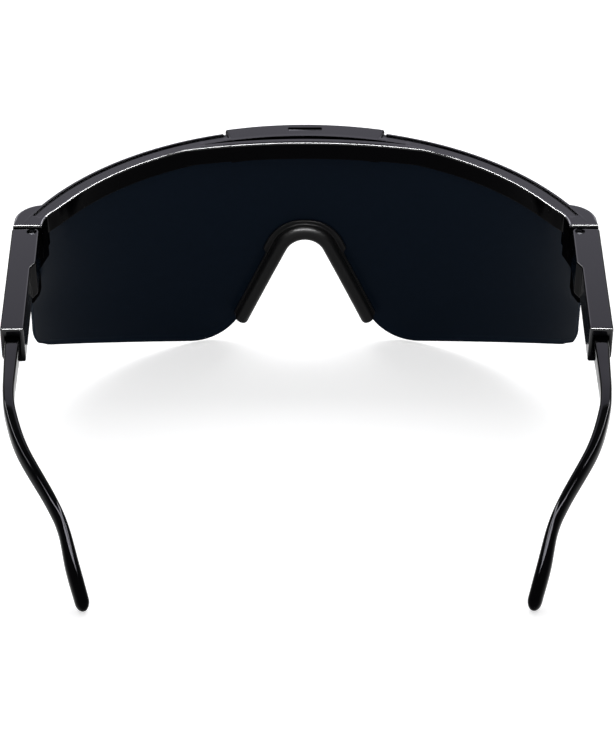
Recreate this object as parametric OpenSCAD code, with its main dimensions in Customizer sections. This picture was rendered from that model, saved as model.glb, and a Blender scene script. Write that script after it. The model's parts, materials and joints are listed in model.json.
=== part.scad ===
// Sports sunglasses: one wrapped shield lens under a brow frame, with temples that
// tilt, fold and lengthen. Sizes are in millimetres.
// Every piece is drawn as worn: the brow's top is level at z = 0, the face is towards
// -Y, and the wearer's left is +X. One last move lays the glasses on a table, where
// they rest on the two lobes of the lens and on the two temple tips.

/* [Brow frame] */
// Width of the front over its two end blocks
front_w = 156; // [146:0.5:166]
// Angle from the middle of the front round to the end blocks
block_angle = 68.5; // [66.5:0.5:70]
// Depth of the brow from its rear face to its front face
brow_depth = 5.2; // [4.8:0.1:6.5]
// Height of the brow's rear wall
rear_wall_h = 5.6; // [4.5:0.1:8]
// Thickness of the brow's rear wall
rear_wall_t = 1.4; // [1.2:0.1:1.8]
// Height of the brow's front wall
front_wall_h = 9.5; // [8:0.1:12]
// Thickness of the brow's top over the lens
brow_top_t = 2; // [1.6:0.1:3]
// Rounding of the long top edges
edge_r = 0.5; // [0.2:0.1:0.7]

/* [Rear lip and vent] */
// Radius of the flattened rear lip, seen from above
lip_r = 139; // [110:1:170]
// How far the lip stands behind the rear wall in the middle
lip_stand = 3.7; // [3.2:0.1:4.5]
// Thickness of the lip in the middle
lip_t = 2.4; // [1.8:0.1:2.8]
// Height of the lip
lip_h = 5.3; // [4.5:0.1:8]
// Half the length of the vent slot between the lip and the brow
vent_half = 28.5; // [20:0.5:30]

/* [Top ridge and platform] */
// Half the width of the raised platform in the middle
platform_half = 22.8; // [16:0.2:26]
// How far the platform stands out in front of the brow
platform_out = 1.8; // [0.5:0.1:3]
// How far the platform rises above the brow
platform_rise = 0.3; // [0.2:0.1:1]
// Length of the pocket in the platform
pocket_l = 9.2; // [5:0.2:14]
// Width of the pocket in the platform
pocket_w = 1.8; // [1:0.1:2.4]
// Depth of the pocket
pocket_d = 0.4; // [0.3:0.1:0.8]
// Distance from the platform's front face back to the pocket's rear edge
pocket_in = 3.5; // [3:0.1:4]
// Thickness of the ridge along the front edge
ridge_t = 0.9; // [0.6:0.1:1.4]
// Width of the channel behind the ridge
channel_w = 1.9; // [1:0.1:2.2]
// Depth of the channel
channel_d = 0.5; // [0.3:0.1:1]
// Gap between the end of the ridge and the platform
notch_w = 0.9; // [0.5:0.1:2]

/* [End blocks] */
// Width of an end block, across the front
block_w = 7.3; // [6.9:0.1:8]
// Height of an end block
block_h = 10.5; // [10:0.1:12]
// Rounding of the block's outer front corner, seen from above
block_r = 8; // [6:0.5:9]
// Straight length of the block's outer face in front of its rear edge
block_side = 3.4; // [2:0.2:5]
// Chamfer round the block's top and bottom
block_edge = 0.5; // [0.2:0.1:0.8]
// Height of the side lug below the brow's top
lug_drop = 26; // [20:0.5:30]
// Width of the side lug along the lens
lug_w = 5.6; // [4:0.1:7]
// Thickness of the side lug in front of the lens
lug_wall_t = 1.2; // [0.8:0.1:1.6]

/* [Lens] */
// Thickness of the lens
lens_t = 2; // [1.8:0.1:2.2]
// Angle that the lens runs on past the inner faces of the end blocks
lens_past = 4.7; // [4.1:0.1:5.5]
// Height of the lens from the brow's top to its bottom plane at the front
lens_drop = 67.5; // [60:0.5:72]
// Rise of the lens's bottom plane for each unit towards the rear
lens_rise = 0.653; // [0.55:0.01:0.7]
// Rounding of the lens's lower outer corners
lens_corner_r = 4; // [2:0.5:6]
// Rounding of the lobes beside the nose
lobe_r = 18; // [12:0.5:20]

/* [Nose pad] */
// Radius of the arch over the nose
nose_r = 5.9; // [5:0.1:8]
// Depth of the arch's centre below the brow's top
nose_drop = 39.1; // [36:0.1:42]
// Lean of the nose pad's legs from upright
nose_lean = 26; // [22:0.5:28]
// Width of the pad's roll
pad_w = 4; // [3.6:0.1:5]
// Depth of the pad's roll behind the lens
pad_depth = 4.4; // [3:0.1:6]
// Length of a leg below the arch
pad_leg = 26.5; // [20:0.5:28]
// Thickness of the pad's flange on each face of the lens
flange_t = 1; // [0.8:0.1:1.6]
// How far the flange reaches past the roll
flange_w = 1; // [0.6:0.1:2]

/* [Tilting hinge] */
// Height of a temple sleeve
sleeve_h = 10; // [9:0.1:11]
// Distance from the block's outer face to the hinge pin
hinge_in = 5.3; // [4.9:0.1:5.7]
// Distance from the block's rear face back to the hinge pin
hinge_back = 2.9; // [2.8:0.1:3.2]
// Gap between the block's rear face and the open sleeve
hinge_gap = 1.2; // [1.1:0.1:1.4]
// Distance from the block's rear face forward to the tilt pin
tilt_in = 3.9; // [3.6:0.1:4.4]
// Radius of the hinge pin and the tilt pin
pin_r = 1; // [0.8:0.05:1.1]
// Radius of the recess over each end of the hinge pin
recess_r = 1.35; // [1.2:0.05:1.5]
// Depth of the recess over each end of the hinge pin
recess_d = 0.9; // [0.4:0.1:1.2]
// Thickness of the tilt link's tongue
tongue_t = 2.4; // [2:0.1:2.8]
// Radius of the tongue's toothed nose
tongue_r = 3.3; // [3:0.1:3.4]
// Height of the tilt link at its barrel
link_h = 5.2; // [4:0.1:5.6]
// Angle between two clicks of the tilt
tilt_step = 8; // [6:1:10]

/* [Temple sleeves] */
// Length of a sleeve behind the hinge pin
sleeve_l = 46.3; // [42:0.5:52]
// Distance from the hinge pin to the sleeve's outer face
sleeve_out = 5.3; // [5.1:0.1:5.8]
// Width of the sleeve at the hinge
sleeve_front_w = 7.2; // [7:0.1:8]
// Width of the sleeve behind its step
sleeve_rear_w = 5.9; // [5.7:0.1:6.6]
// Distance from the hinge pin to the step
step_v = 15; // [12:0.5:20]
// Length of the step
step_l = 2.6; // [1.2:0.2:4]
// Toe-in of the sleeve
toe_in = 1.9; // [0:0.1:3]
// Rounding of the sleeve's inner front corner, seen from above
sleeve_corner_r = 1.5; // [0.8:0.1:1.8]
// Rounding of the sleeve's long edges
sleeve_edge_r = 0.5; // [0.3:0.1:0.8]
// Rounding of the sleeve's lower outer edge
sleeve_low_r = 1.8; // [0.8:0.1:2.2]

/* [Temple arms] */
// Width of the arm's bar
arm_w = 3.6; // [3.2:0.1:3.8]
// Height of the arm's bar
arm_h = 5.5; // [4.5:0.1:5.8]
// How far the arm slides out
arm_travel = 8; // [4:0.5:12]
// Length of the bar inside the sleeve when it is pushed in
arm_inside = 34; // [28:0.5:35]

/* [Fits] */
// Clearance round the lens in its groove
lens_clear = 0.1; // [0.05:0.01:0.2]
// Radial clearance of a pin that turns
run_clear = 0.04; // [0.02:0.01:0.08]
// Radial clearance of a pin that stays put
seat_clear = 0.01; // [0.01:0.01:0.03]
// Clearance beside the tongue and the barrel
side_clear = 0.15; // [0.1:0.01:0.25]
// Clearance round the bar in its sleeve
slide_clear = 0.12; // [0.08:0.01:0.2]

/* [Hidden] */
$fn = 96;
nylon = "#1c1c20";
tinted = "#0d1118";
rubber = "#2a2a2c";
steel = "#8d9095";
// Overshoot of a cutting tool past the face that it opens
over = 1;
// Far enough to reach past the whole front
far = 200;

// The wrap: all rings of the brow, lens and pad share this centre. It goes round to the
// blocks, so its radius at the brow's rear face follows from their place
end_x = front_w / 2;
block_x = end_x - block_w;
wrap_r = block_x / sin(block_angle);
wrap_y = wrap_r - lip_stand;
lens_half_angle = block_angle + lens_past;
front_r = wrap_r + brow_depth;
groove_in_r = wrap_r + rear_wall_t;
lens_in_r = groove_in_r + lens_clear;
lens_out_r = lens_in_r + lens_t;
groove_out_r = lens_out_r + lens_clear;
lens_mid_r = (lens_in_r + lens_out_r) / 2;

// The end blocks, pins and slots
end_y = wrap_y - wrap_r * cos(block_angle);
hinge_x = end_x - hinge_in;
hinge_y = end_y + hinge_back;
hinge_z = -sleeve_h / 2;
tilt_y = end_y - tilt_in;
slot_half = tongue_t / 2 + side_clear;
slot_front_y = tilt_y - tongue_r - 0.3;
// The lens ends before the tilt slot, and a thin wall stays between them
lens_top_angle = asin((hinge_x - slot_half - 0.7) / lens_out_r) - 0.6;
groove_top_angle = lens_top_angle + 0.5;
brow_end_angle = block_angle - 1;
cheek_start_angle = groove_top_angle + 0.3;
cheek_inset = 0.3;
// Below the block, the lens and the lug reach further back, clear of the tilting sleeve
lens_step_z = block_h + 1.8;
lug_top_z = lens_step_z - 0.2;
lug_mid_angle = lens_half_angle - 1.6;
lug_end_angle = lens_half_angle + 1;
lug_shoulder_h = 3;
lug_cut = 1.5;

// The channel along the brow's top
ridge_in_r = front_r - ridge_t;
channel_in_r = ridge_in_r - channel_w;
platform_angle = asin(platform_half / (front_r + platform_out));
notch_angle = notch_w / front_r * 180 / PI;
channel_end_angle = lens_top_angle + 2;

// The bottom plane of the lens, and its lobes beside the nose
bottom_tilt = atan(lens_rise);
lens_nose_off = 2.1;
nose_z = -nose_drop;
lens_leg_r = nose_r + lens_nose_off;
leg_foot_y = wrap_y - lens_mid_r + 2.6;
leg_foot_z = leg_foot_y * lens_rise - lens_drop;
leg_foot_x = lens_leg_r * cos(nose_lean)
    + (nose_z + lens_leg_r * sin(nose_lean) - leg_foot_z) * tan(nose_lean);
plane_lean = atan(tan(nose_lean) / cos(bottom_tilt));
lobe_x = leg_foot_x + lobe_r / tan(45 + plane_lean / 2);

// The sleeve and the arm, from the hinge pin outwards (u) and backwards (v)
sleeve_in_u = sleeve_out - sleeve_front_w;
sleeve_rear_u = sleeve_out - sleeve_rear_w;
arm_u = sleeve_out - sleeve_rear_w / 2;
socket_half_w = arm_w / 2 + slide_clear;
socket_half_h = arm_h / 2 + slide_clear;
head_l = 2;
head_extra = 0.4;
arm_start_v = sleeve_l - arm_inside;
collar_v = arm_start_v + head_l + arm_travel + 0.2;
link_gap_h = link_h + 2 * side_clear;
barrel_r = 1.75;
clevis_r = barrel_r + 0.35;

// Stations of the arm behind the sleeve: outward offset from the bar, distance behind
// the sleeve, drop, width, height, and how square the section is
ARM = [
    [0, -6, 0, arm_w, arm_h, 7],
    [0, 3, 0, arm_w, arm_h, 7],
    [-0.1, 11, 0, arm_w - 0.4, arm_h - 0.2, 6],
    [-0.4, 22, 0, arm_w - 0.8, arm_h - 0.5, 5],
    [-1.5, 30, -0.5, arm_w - 0.7, arm_h - 0.8, 4],
    [-4.8, 41, -2.5, arm_w - 0.6, arm_h - 1, 3],
    [-11.7, 54, -7, arm_w - 0.8, arm_h - 1.1, 2.6],
    [-14.8, 60.5, -10.5, arm_w - 0.8, arm_h - 1.2, 2.4],
    [-17, 68.5, -15.3, arm_w - 0.2, arm_h - 0.5, 2.4],
    [-19.1, 75, -19.6, arm_w - 0.3, arm_h - 0.6, 2.4]
];
ring_n = 20;
ring_steps = 4;
tip_rings = 4;

// A point or a station t of the way from b to c, on a smooth curve past a and d
function spline(a, b, c, d, t) =
    0.5 * (2 * b + (c - a) * t + (2 * a - 5 * b + 4 * c - d) * t * t
        + (3 * b - a - 3 * c + d) * t * t * t);
function station(s) =
    let (n = len(ARM) - 1)
    let (i = min(floor(s), n - 1))
    let (before = i > 0 ? ARM[i - 1] : 2 * ARM[0] - ARM[1])
    let (after = i < n - 1 ? ARM[i + 2] : 2 * ARM[n] - ARM[n - 1])
    spline(before, ARM[i], ARM[i + 1], after, s - i);
function place(q) = [arm_u + q[0], sleeve_l + q[1], q[2]];
function unit(v) = v / norm(v);
function arc(c, r, a0, a1, n) =
    [for (k = [0 : n]) let (a = a0 + (a1 - a0) * k / n) c + r * [cos(a), sin(a)]];
// The same outline on the other side of the middle, walked the other way
function flipped(points) = [for (k = [len(points) - 1 : -1 : 0]) [-points[k][0], points[k][1]]];
function power(c, e) = sign(c) * pow(abs(c), 2 / e);
// One ring of the arm's skin, square to the path
function arm_ring(mid, along, w, h, square) =
    let (side = unit(cross(along, [0, 0, 1])))
    let (up = cross(side, along))
    [for (k = [0 : ring_n - 1])
        let (a = 360 * (k + 0.5) / ring_n)
        mid + side * (w / 2 * power(cos(a), square)) + up * (h / 2 * power(sin(a), square))];
function arm_rings() =
    let (n = len(ARM) - 1)
    let (last = station(n))
    let (aim = unit(place(last) - place(station(n - 0.1))))
    let (tip_l = last[4] / 2)
    concat(
        [for (k = [0 : n * ring_steps])
            let (s = k / ring_steps)
            let (q = station(s))
            let (along = unit(place(station(min(s + 0.05, n))) - place(station(max(s - 0.05, 0)))))
            arm_ring(place(q), along, q[3], q[4], q[5])],
        [for (k = [1 : tip_rings])
            let (a = 86 * k / tip_rings)
            arm_ring(place(last) + aim * tip_l * sin(a), aim, last[3] * cos(a), last[4] * cos(a), last[5])]);

// The same points in the worn position, and how low and how far they reach at a tilt
function to_worn(p) =
    [hinge_x + p[0] * cos(toe_in) - p[1] * sin(toe_in),
        hinge_y + p[0] * sin(toe_in) + p[1] * cos(toe_in), hinge_z + p[2]];
function height(p, t) = p[2] * cos(t) - p[1] * sin(t);
function depth(p, t) = p[1] * cos(t) + p[2] * sin(t);
arm_skin = [for (ring = arm_rings()) for (p = ring) to_worn(p)];
lobe_edge = [for (x = [lobe_x - 8 : 0.25 : lobe_x + 8])
    for (r = [lens_in_r, lens_out_r])
        let (y = wrap_y - sqrt(r * r - x * x))
        let (n = x < lobe_x ? lobe_r - sqrt(lobe_r * lobe_r - pow(lobe_x - x, 2)) : 0)
        [x, y, y * lens_rise - lens_drop + n / cos(bottom_tilt)]];
function lowest(points, t) = min([for (p = points) height(p, t)]);
// The tilt at which the lobes and the tips touch one level table, by halving
function resting(lo, hi, n) =
    let (t = (lo + hi) / 2)
    n == 0 ? t
        : lowest(lobe_edge, t) < lowest(arm_skin, t) ? resting(t, hi, n - 1)
        : resting(lo, t, n - 1);
steepest = 40;
halvings = 24;
rest_tilt = resting(0, steepest, halvings);
pad_front_r = groove_out_r + flange_t;
pad_foot = [nose_r * cos(nose_lean) + pad_leg * sin(nose_lean),
    nose_z + nose_r * sin(nose_lean) - pad_leg * cos(nose_lean)];
front_most = depth([0, wrap_y - sqrt(pad_front_r * pad_front_r - pow(pad_foot[0], 2)), pad_foot[1]], rest_tilt);
rear_most = max([for (p = arm_skin) depth(p, rest_tilt)]);

module on_table() {
    translate([0, -(front_most + rear_most) / 2, -lowest(lobe_edge, rest_tilt)])
        rotate([-rest_tilt, 0, 0]) children();
}
module both_sides() {
    children();
    mirror([1, 0, 0]) children();
}
// A stretch of a ring round the wrap's centre, from one angle off the middle to another
module wrap_ring(r0, r1, z0, z1, a0, a1) {
    translate([0, wrap_y, 0]) rotate([0, 0, a0 - 90])
        rotate_extrude(angle = a1 - a0) translate([r0, z0]) square([r1 - r0, z1 - z0]);
}
// A flat shape pushed outwards through the wall at one angle: its x runs along the wall
module through_wall(a) {
    translate([0, wrap_y, 0]) rotate([0, 0, a - 90])
        translate([wrap_r - 4 * over, 0, 0]) rotate([90, 0, 90])
            linear_extrude(brow_depth + 8 * over) children();
}
// A flat shape in the plane of the face, pushed from front to rear
module through_face(y0, y1) {
    translate([0, y1, 0]) rotate([90, 0, 0]) linear_extrude(y1 - y0) children();
}
// The arch over the nose, widened by off, with legs that lean out and end square
function nose_line(off, leg) =
    let (r = nose_r + off)
    let (right = concat(
        arc([0, nose_z], r, 90, nose_lean, 12),
        [[r * cos(nose_lean) + leg * sin(nose_lean), nose_z + r * sin(nose_lean) - leg * cos(nose_lean)]]))
    concat(flipped(right), [for (k = [1 : len(right) - 1]) right[k]]);
// A bar's section with its two top edges rounded, from radius r0 to r1
module rounded_top(r0, r1, z0, z1) {
    translate([r0, z0]) square([r1 - r0, z1 - z0 - edge_r]);
    translate([r0 + edge_r, z1 - 2 * edge_r]) square([r1 - r0 - 2 * edge_r, 2 * edge_r]);
    for (r = [r0 + edge_r, r1 - edge_r]) translate([r, z1 - edge_r]) circle(edge_r, $fn = 32);
}
module brow_bar() {
    translate([0, wrap_y, 0]) rotate([0, 0, -brow_end_angle - 90])
        rotate_extrude(angle = 2 * brow_end_angle) {
            rounded_top(wrap_r, front_r, -rear_wall_h, 0);
            translate([lens_mid_r, -front_wall_h]) square([front_r - lens_mid_r, front_wall_h / 2]);
        }
}
module rear_lip() {
    lip_angle = asin((vent_half + 4) / lip_r);
    translate([0, lip_r, 0]) rotate([0, 0, -lip_angle - 90])
        rotate_extrude(angle = 2 * lip_angle) rounded_top(lip_r, lip_r + lip_t, -lip_h, 0);
}
// The crescent between the lip and the brow: inside one arc and outside a flatter one
module vent_slot() {
    front_y = -lip_stand;
    sag = wrap_r - sqrt(wrap_r * wrap_r - vent_half * vent_half) - 1;
    front_arc = (vent_half * vent_half + sag * sag) / (2 * sag);
    rear_sag = sag - (lip_stand - lip_t);
    rear_arc = (vent_half * vent_half + rear_sag * rear_sag) / (2 * rear_sag);
    translate([0, 0, -rear_wall_h - over]) linear_extrude(rear_wall_h + 2 * over)
        difference() {
            translate([0, front_y + front_arc]) circle(front_arc, $fn = 180);
            translate([0, front_y + lip_stand - lip_t + rear_arc]) circle(rear_arc, $fn = 180);
        }
}
module platform() {
    wrap_ring(ridge_in_r - 1, front_r + platform_out, -front_wall_h + 2, platform_rise,
        -platform_angle, platform_angle);
}
module top_recesses() {
    end = platform_angle + notch_angle;
    both_sides() {
        wrap_ring(channel_in_r, ridge_in_r, -channel_d, over, end - notch_angle, channel_end_angle);
        wrap_ring(ridge_in_r - over, front_r + over, -channel_d, over, end - notch_angle, end);
    }
    pocket_angle = asin(pocket_l / 2 / front_r);
    pocket_r = front_r + platform_out - pocket_in;
    wrap_ring(pocket_r, pocket_r + pocket_w, platform_rise - pocket_d, platform_rise + over,
        -pocket_angle, pocket_angle);
}
// The block seen from above, drawn in by an edge
module block_plan(edge) {
    corner = [end_x - block_r, end_y - block_side];
    polygon(concat(
        [[block_x, end_y - edge], [end_x - edge, end_y - edge]],
        arc(corner, block_r - edge, 0, -90, 12),
        [corner + [-2.5, 2 - block_r]]));
}
module end_block() {
    translate([0, 0, block_edge - block_h]) linear_extrude(block_h - 2 * block_edge) block_plan(0);
    for (end = [0, 1]) mirror([0, 0, end]) translate([0, 0, end * block_h]) hull() {
        translate([0, 0, -block_edge]) linear_extrude(block_edge / 20) block_plan(0);
        translate([0, 0, -block_edge / 20]) linear_extrude(block_edge / 20) block_plan(block_edge);
    }
}
// The wall between the end of the lens's full height and the end block
module cheek() {
    wrap_ring(wrap_r + cheek_inset, front_r - cheek_inset, -block_h - cheek_inset, -brow_top_t / 2,
        cheek_start_angle, block_angle + 1);
}
// Walls on both faces of the lens's side edge, joined behind it
module side_lug() {
    mid = lug_mid_angle;
    half = lug_w / 2;
    shoulder = (lug_mid_angle - groove_top_angle) * lens_mid_r * PI / 180;
    intersection() {
        wrap_ring(wrap_r, groove_out_r + lug_wall_t, -lug_drop, -block_h + over, brow_end_angle - 8, lug_end_angle);
        through_wall(mid) polygon([
            [-shoulder, over - block_h], [-shoulder, -block_h], [-half, -block_h - lug_shoulder_h],
            [-half, lug_cut - lug_drop], [lug_cut - half, -lug_drop], [lug_w, -lug_drop],
            [lug_w, over - block_h]]);
    }
}
module tilt_slot() {
    h = 2 * (link_h / 2 + 1);
    translate([hinge_x - slot_half, tilt_y, hinge_z - h / 2])
        cube([2 * slot_half, end_y - tilt_y + over, h]);
    translate([hinge_x - slot_half, tilt_y, hinge_z]) rotate([0, 90, 0])
        cylinder(r = tilt_y - slot_front_y, h = 2 * slot_half);
}
module tilt_bore(clear) {
    translate([block_x - 3 * over, tilt_y, hinge_z]) rotate([0, 90, 0])
        cylinder(r = pin_r + clear, h = end_x - 1 - block_x + 3 * over);
}
module brow_frame() {
    color(nylon) on_table() difference() {
        union() {
            brow_bar();
            rear_lip();
            platform();
            both_sides() {
                end_block();
                cheek();
                side_lug();
            }
        }
        vent_slot();
        top_recesses();
        wrap_ring(groove_in_r, groove_out_r, -far, -brow_top_t, -groove_top_angle, groove_top_angle);
        both_sides() {
            wrap_ring(groove_in_r, groove_out_r, -far, 0.3 - lug_top_z, groove_top_angle - 2, lens_half_angle + 0.1);
            translate([block_x - block_w, end_y, -lug_top_z]) cube([3 * block_w, 2 * block_w, lug_top_z + over]);
            tilt_slot();
            tilt_bore(seat_clear);
        }
    }
}

// Everything under the bottom plane, with the two lobes rounded up towards the nose
module lens_bottom_cut() {
    lobe = [for (p = arc([lobe_x, lobe_r], lobe_r, -90, -180 + plane_lean, 14)) p];
    translate([0, 0, -lens_drop]) rotate([bottom_tilt, 0, 0]) rotate([90, 0, 0])
        translate([0, 0, -far]) linear_extrude(2 * far)
            polygon(concat([[far, -far], [far, 0]], lobe, flipped(lobe), [[-far, 0], [-far, -far]]));
}
module lens_corner_cut() {
    r = lens_corner_r;
    corner_y = wrap_y - lens_mid_r * cos(lens_half_angle);
    slope = atan(lens_rise * sin(lens_half_angle));
    z = corner_y * lens_rise - lens_drop + r * tan(45 - slope / 2);
    through_wall(lens_half_angle - r / lens_mid_r * 180 / PI) difference() {
        translate([r * sin(slope), z - 3 * r]) square([2 * r, 3 * r]);
        translate([0, z]) circle(r);
    }
}
module shield_lens() {
    color(tinted) on_table() difference() {
        wrap_ring(lens_in_r, lens_out_r, -lens_drop - brow_depth, -brow_top_t - lens_clear,
            -lens_half_angle, lens_half_angle);
        lens_bottom_cut();
        through_face(wrap_y - front_r, wrap_y - wrap_r + brow_depth)
            polygon(nose_line(lens_nose_off, 2 * pad_leg));
        both_sides() {
            lens_corner_cut();
            wrap_ring(wrap_r, front_r, -lens_step_z, over, lens_top_angle, lens_half_angle + 1);
        }
    }
}

// A layer of the pad between two radii and between two offsets from the nose opening
module pad_layer(r0, r1, off0, off1, leg) {
    inner = nose_line(off0, leg);
    intersection() {
        through_face(wrap_y - 2 * front_r, wrap_y) polygon(concat(
            nose_line(off1, leg), [for (k = [len(inner) - 1 : -1 : 0]) inner[k]]));
        wrap_ring(r0, r1, -far, 0, -30, 30);
    }
}
// The roll behind the lens, and the flanges that grip the lens's edge between them
module nose_pad() {
    reach = pad_w + flange_w;
    color(rubber) on_table() difference() {
        pad_layer(groove_in_r - pad_depth, pad_front_r, 0, reach, pad_leg);
        pad_layer(groove_in_r - pad_depth - over, groove_in_r - flange_t, pad_w, reach + over, pad_leg + 4 * over);
        pad_layer(groove_in_r, groove_out_r, lens_nose_off - lens_clear, reach + over, pad_leg + 4 * over);
    }
}

module tilt_link() {
    notch_r = 0.25;
    difference() {
        union() {
            translate([hinge_x - tongue_t / 2, tilt_y, hinge_z]) rotate([0, 90, 0])
                cylinder(r = tongue_r, h = tongue_t);
            translate([hinge_x - tongue_t / 2, tilt_y, hinge_z - link_h / 2])
                cube([tongue_t, hinge_y - tilt_y, link_h]);
            translate([hinge_x, hinge_y, hinge_z - link_h / 2]) cylinder(r = barrel_r, h = link_h);
        }
        translate([hinge_x, hinge_y, hinge_z - link_h / 2 - over])
            cylinder(r = pin_r + run_clear, h = link_h + 2 * over);
        translate([hinge_x - tongue_t, tilt_y, hinge_z]) rotate([0, 90, 0])
            cylinder(r = pin_r + run_clear, h = 2 * tongue_t);
        for (k = [-5 : 5]) translate([hinge_x - tongue_t, tilt_y, hinge_z])
            rotate([k * tilt_step, 0, 0]) translate([0, -tongue_r, 0]) rotate([0, 90, 0])
                cylinder(r = notch_r, h = 2 * tongue_t, $fn = 24);
    }
}
module tilt_pin() {
    translate([block_x - 0.2, tilt_y, hinge_z]) rotate([0, 90, 0])
        cylinder(r = pin_r, h = end_x - 1.2 - block_x);
}
// The sleeve's own frame: the hinge pin is its origin, and +Y runs along it
module along_sleeve() {
    translate([hinge_x, hinge_y, hinge_z]) rotate([0, 0, toe_in]) children();
}
module hinge_pin() {
    h = sleeve_h - 2 * recess_d - 0.2;
    along_sleeve() translate([0, 0, -h / 2]) cylinder(r = pin_r, h = h);
}
// A stretch of the sleeve whose inner face is at u: its section, with rounded edges, is cut
// by its outline seen from above
module sleeve_length(u, outline) {
    r = sleeve_edge_r;
    z = sleeve_h / 2;
    intersection() {
        translate([0, 2 * sleeve_l, 0]) rotate([90, 0, 0]) linear_extrude(3 * sleeve_l) polygon(concat(
            arc([sleeve_out - r, z - r], r, 0, 90, 4),
            arc([u + r, z - r], r, 90, 180, 4),
            arc([u + r, r - z], r, 180, 270, 4),
            arc([sleeve_out - sleeve_low_r, sleeve_low_r - z], sleeve_low_r, 270, 360, 6)));
        translate([0, 0, -sleeve_h]) linear_extrude(2 * sleeve_h) polygon(outline);
    }
}
module sleeve_body() {
    v = hinge_gap - hinge_back;
    cut = 0.4;
    lap = 2 * (sleeve_rear_u - sleeve_in_u);
    sleeve_length(sleeve_in_u, concat(
        [[sleeve_out - cut, v], [sleeve_out, v + cut],
            [sleeve_out, step_v], [sleeve_rear_u, step_v + step_l], [sleeve_in_u, step_v]],
        arc([sleeve_in_u, v] + sleeve_corner_r * [1, 1], sleeve_corner_r, 180, 270, 5)));
    sleeve_length(sleeve_rear_u, [
        [sleeve_rear_u, step_v - lap], [sleeve_out, step_v - lap],
        [sleeve_out, sleeve_l - cut], [sleeve_out - cut, sleeve_l],
        [sleeve_rear_u + cut, sleeve_l], [sleeve_rear_u, sleeve_l - cut]]);
}
module temple_sleeve() {
    along_sleeve() difference() {
        sleeve_body();
        translate([sleeve_in_u - over, -2 * over, -link_gap_h / 2])
            cube([clevis_r - sleeve_in_u + over, clevis_r + 2 * over, link_gap_h]);
        translate([0, 0, -sleeve_h]) cylinder(r = pin_r + seat_clear, h = 2 * sleeve_h);
        for (end = [0, 1]) mirror([0, 0, end]) translate([0, 0, sleeve_h / 2 - recess_d])
            cylinder(r = recess_r, h = recess_d + over);
        translate([arm_u - socket_half_w, arm_start_v - 0.5, -socket_half_h])
            cube([2 * socket_half_w, far, 2 * socket_half_h]);
        translate([arm_u - socket_half_w, arm_start_v - 0.5, -socket_half_h - head_extra])
            cube([2 * socket_half_w, collar_v - arm_start_v + 0.5, 2 * (socket_half_h + head_extra)]);
    }
}
module temple_arm() {
    rings = arm_rings();
    n = len(rings);
    along_sleeve() {
        translate([arm_u - arm_w / 2, arm_start_v, -arm_h / 2]) cube([arm_w, arm_inside - 2, arm_h]);
        translate([arm_u - arm_w / 2, arm_start_v, -arm_h / 2 - head_extra])
            cube([arm_w, head_l, arm_h + 2 * head_extra]);
        polyhedron(
            points = [for (ring = rings) for (p = ring) p],
            faces = concat(
                [[for (k = [ring_n - 1 : -1 : 0]) k]],
                [for (i = [0 : n - 2]) for (k = [0 : ring_n - 1])
                    let (a = i * ring_n + k)
                    let (b = i * ring_n + (k + 1) % ring_n)
                    [a, b, b + ring_n, a + ring_n]],
                [[for (k = [0 : ring_n - 1]) (n - 1) * ring_n + k]]),
            convexity = 6);
    }
}

brow_frame();
shield_lens();
nose_pad();
color(nylon) on_table() tilt_link();  // tilt_link_left
color(nylon) on_table() mirror([1, 0, 0]) tilt_link();  // tilt_link_right
color(steel) on_table() tilt_pin();  // tilt_pin_left
color(steel) on_table() mirror([1, 0, 0]) tilt_pin();  // tilt_pin_right
color(steel) on_table() hinge_pin();  // hinge_pin_left
color(steel) on_table() mirror([1, 0, 0]) hinge_pin();  // hinge_pin_right
color(nylon) on_table() temple_sleeve();  // temple_sleeve_left
color(nylon) on_table() mirror([1, 0, 0]) temple_sleeve();  // temple_sleeve_right
color(nylon) on_table() temple_arm();  // temple_arm_left
color(nylon) on_table() mirror([1, 0, 0]) temple_arm();  // temple_arm_right
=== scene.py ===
"""Sports sunglasses: a wrapped shield lens under a moulded brow, with temples that tilt,
fold and lengthen. The moulded, cast and rubber surfaces are worked out here as profiles
carried along paths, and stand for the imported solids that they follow.

Every surface is worked out as worn, with the brow's top level at z = 0, the face towards
-Y and the wearer's left at +X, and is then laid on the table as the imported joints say.
"""

import json
import math

import bpy
import numpy as np
from bpy.props import FloatProperty, FloatVectorProperty, PointerProperty, StringProperty
from mathutils import Matrix, Vector


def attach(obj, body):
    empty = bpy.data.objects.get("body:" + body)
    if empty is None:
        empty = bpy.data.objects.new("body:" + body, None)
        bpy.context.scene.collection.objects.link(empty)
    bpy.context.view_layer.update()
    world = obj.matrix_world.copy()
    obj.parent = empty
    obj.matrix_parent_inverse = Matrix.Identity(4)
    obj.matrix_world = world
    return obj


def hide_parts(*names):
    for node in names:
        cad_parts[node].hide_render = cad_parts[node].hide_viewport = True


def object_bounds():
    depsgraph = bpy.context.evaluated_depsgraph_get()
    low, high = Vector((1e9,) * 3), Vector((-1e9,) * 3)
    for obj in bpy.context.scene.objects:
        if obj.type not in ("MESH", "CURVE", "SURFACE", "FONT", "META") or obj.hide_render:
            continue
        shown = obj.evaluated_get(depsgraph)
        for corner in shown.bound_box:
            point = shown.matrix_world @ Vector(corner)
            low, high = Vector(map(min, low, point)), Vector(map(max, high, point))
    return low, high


bl_info = {
    "name": "Sports sunglasses",
    "version": (1, 0, 0),
    "blender": (4, 5, 0),
    "location": "3D View > Sidebar > Sunglasses",
    "description": "Builds the finished surfaces of a pair of wraparound sports sunglasses",
    "category": "Add Mesh",
}

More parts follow.
